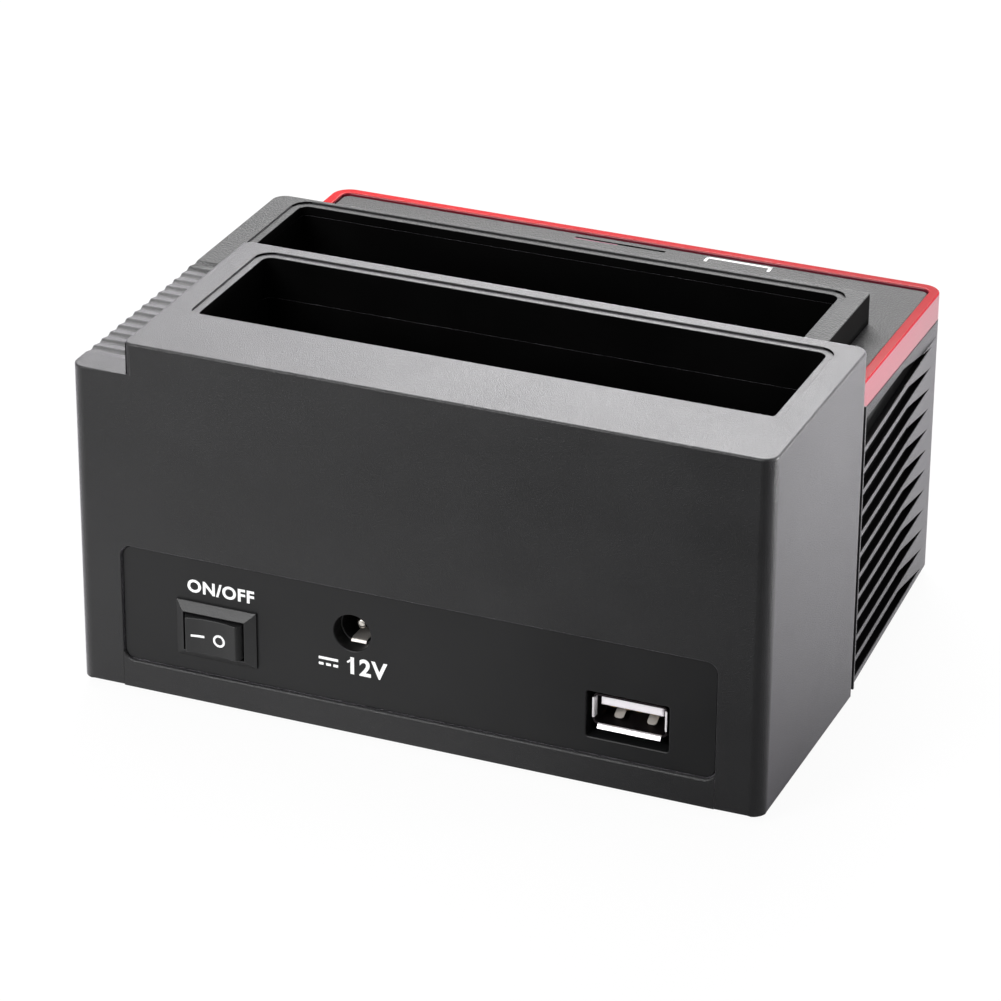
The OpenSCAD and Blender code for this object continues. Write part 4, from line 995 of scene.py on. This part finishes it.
def words(name, body, centre, width, turn=0.0, weight=0.0):
    """Printed text in mm: its middle, its width, its turn about Z, and how bold it is."""
    bpy.ops.object.select_all(action="DESELECT")
    bpy.ops.object.text_add()
    mark = bpy.context.object
    mark.name = name
    mark.data.body = body
    mark.data.align_x, mark.data.align_y = "CENTER", "CENTER"
    mark.data.offset = weight
    mark.data.space_character = 1.1
    mark.data.resolution_u = 6
    bpy.context.view_layer.update()
    size = width * MM / mark.dimensions.x
    mark.data.extrude = INK * MM / 2 / size
    mark.scale = (size, size, size)
    mark.rotation_euler = (math.pi / 2, 0, math.pi + turn)
    mark.location = Vector(centre) * MM
    bpy.ops.object.convert(target="MESH")
    return finish_mesh(bpy.context.object)


on_off = words("on_off_mark", "ON/OFF", (35.55, PANEL_Y + INK / 2, 23.0), 12.5, weight=0.03)
volts = words("voltage_mark", "12V", (8.6, PANEL_Y + INK / 2, 13.9), 6.8, weight=0.03)
for mark in (on_off, volts):
    stand_in(mark, white_ink, "panel_plastic", "case")
    low = [min(v.co[i] for v in mark.data.vertices) / MM for i in range(3)]
    high = [max(v.co[i] for v in mark.data.vertices) / MM for i in range(3)]
    print(mark.name, [round(a, 2) for a in low], [round(a, 2) for a in high])

# %% [markdown]
# Bars of ink make the sign for direct current beside the voltage and the bracket on the deck.
# Each bar starts as a plane: its corners are rounded by a vertex bevel, and an extrusion
# gives it the thickness of the ink.

# %% Ink bars
def ink_bars(name, bars, lift):
    """Bars of ink on a flat face: each is its middle, length and width in mm on X and Y."""
    parts = []
    for x, y, length, width in bars:
        bar = flat_plane(name, (x, y, lift), (length, width))
        bpy.ops.object.mode_set(mode="EDIT")
        bpy.ops.mesh.select_all(action="SELECT")
        bpy.ops.mesh.bevel(offset=0.2 * min(length, width) * MM, segments=3, affect="VERTICES")
        bpy.ops.mesh.select_all(action="SELECT")
        bpy.ops.mesh.extrude_region_move(TRANSFORM_OT_translate={"value": (0, 0, INK * MM)})
        bpy.ops.object.mode_set(mode="OBJECT")
        parts.append(bar)
    return finish_mesh(joined(name, *parts))


def upright(piece, place, turn=0.0):
    """Stands a flat mark up to face the rear, at a place in mm, turned about Z."""
    piece.rotation_euler = (math.pi / 2, 0, math.pi + turn)
    piece.location = Vector(place) * MM
    return finish_mesh(piece)


direct = ink_bars("direct_current_mark", [
    (0, 0.55, 3.6, 0.5), (-1.35, -0.55, 0.9, 0.5), (0, -0.55, 0.9, 0.5), (1.35, -0.55, 0.9, 0.5)], 0)
upright(direct, (15.6, PANEL_Y, 13.9))
stand_in(direct, white_ink, "panel_plastic", "case")

bracket = ink_bars("deck_bracket_mark", [
    (-21.4, -47.4, 12.6, 0.55), (-15.4, -46.6, 0.55, 1.9), (-27.4, -46.6, 0.55, 1.9)], DECK_Z)
stand_in(bracket, white_ink, "shell_plastic", "case")
# The mauve strip at the rim of the slit is a painted glow, not print
slit_edge = ink_bars("deck_slit_edge", [(5.9, SLIT["y"] + 0.43, 8.4, 0.2)], DECK_Z)
stand_in(slit_edge, painted_slit_glow, "shell_plastic", "case")
flag = ink_bars("voltage_flag", [(0, 0, 0.95, 0.34)], 0)
flag.rotation_euler.z = math.radians(38)
finish_mesh(flag)
upright(flag, (11.75, PANEL_Y, 14.85))
stand_in(flag, white_ink, "panel_plastic", "case")
print("ink bars:", direct.name, bracket.name)

# %% [markdown]
# The bar and the ring on the rocker follow its hollow. Each is drawn flat: the bar is a plane
# with round corners, cut into short lengths, and the ring a filled circle, inset, with the middle deleted.
# A Shrinkwrap modifier lays it on the rocker, and Solidify gives it the thickness of the ink.

# %% Rocker bar and ring
def laid_on_rocker(flat, x, z):
    """Stands a flat mark up at x and z in mm, lays it on the rocker and thickens it."""
    flat.rotation_euler = (math.pi / 2, 0, math.pi)
    flat.location = Vector((x, box_mm("switch_rocker")[1].y + 1, z)) * MM
    finish_mesh(flat)
    modified(flat, "SHRINKWRAP", target=rocker, wrap_method="PROJECT", use_project_y=True,
             use_positive_direction=False, use_negative_direction=True, offset=INK * MM)
    modified(flat, "SOLIDIFY", thickness=INK * MM, offset=0)
    return stand_in(finish_mesh(flat), white_ink, "switch_plastic", "rocker")


BAR_SIZE, RING_R, RING_W = (2.4, 0.42), 1.15, 0.4
rocker_bar = flat_plane("rocker_bar_mark", (0, 0, 0), BAR_SIZE)
bpy.ops.object.mode_set(mode="EDIT")
bpy.ops.mesh.bevel(offset=0.08 * MM, segments=2, affect="VERTICES")
bpy.ops.mesh.select_all(action="SELECT")
bpy.ops.mesh.quads_convert_to_tris()
bpy.ops.mesh.subdivide(number_cuts=6)
bpy.ops.object.mode_set(mode="OBJECT")
laid_on_rocker(rocker_bar, SWITCH.x + 2.55, SWITCH.z)

bpy.ops.object.select_all(action="DESELECT")
bpy.ops.mesh.primitive_circle_add(vertices=48, radius=RING_R * MM, fill_type="NGON")
rocker_ring = bpy.context.object
rocker_ring.name = "rocker_ring_mark"
bpy.ops.object.mode_set(mode="EDIT")
bpy.ops.mesh.select_mode(type="FACE")
bpy.ops.mesh.select_all(action="SELECT")
bpy.ops.mesh.inset(thickness=RING_W * MM)
bpy.ops.mesh.delete(type="FACE")
bpy.ops.object.mode_set(mode="OBJECT")
laid_on_rocker(rocker_ring, SWITCH.x - 1.4, SWITCH.z - 0.25)
print("rocker marks:", len(rocker_bar.data.polygons), "and", len(rocker_ring.data.polygons), "faces")

# %% [markdown]
# Inside the case the board and its parts keep their solids, because nothing of their shape shows.
# They still get their real finishes, for anyone who opens the model.

# %% Finishes of the inner parts
inner_finishes = {
    board_laminate: ["main_board"],
    connector_pbt: ["rear_drive_connector", "front_drive_connector"],
    gold: ["rear_drive_contacts", "front_drive_contacts", "data_port_contacts", "hub_port_contacts"],
    nickel: ["switch_terminals"],
    lead_pvc: ["switch_leads"],
    tinned_steel: ["card_socket"],
    plunger_acetal: ["button_plunger"],
    chip_epoxy: ["button_switch", "control_chip", "hub_chip"],
    led_epoxy: ["indicator_leds"],
    can_metal: ["crystal"],
    ferrite: ["power_inductor"],
    sleeve_pvc: ["filter_capacitors"],
    zinc_steel: ["board_screws"],
}
for material, names in inner_finishes.items():
    for name in names:
        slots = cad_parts[name].material_slots
        for s in slots:
            s.material = material
        if not slots:
            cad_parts[name].data.materials.append(material)
print("inner parts finished:", sum(len(n) for n in inner_finishes.values()))
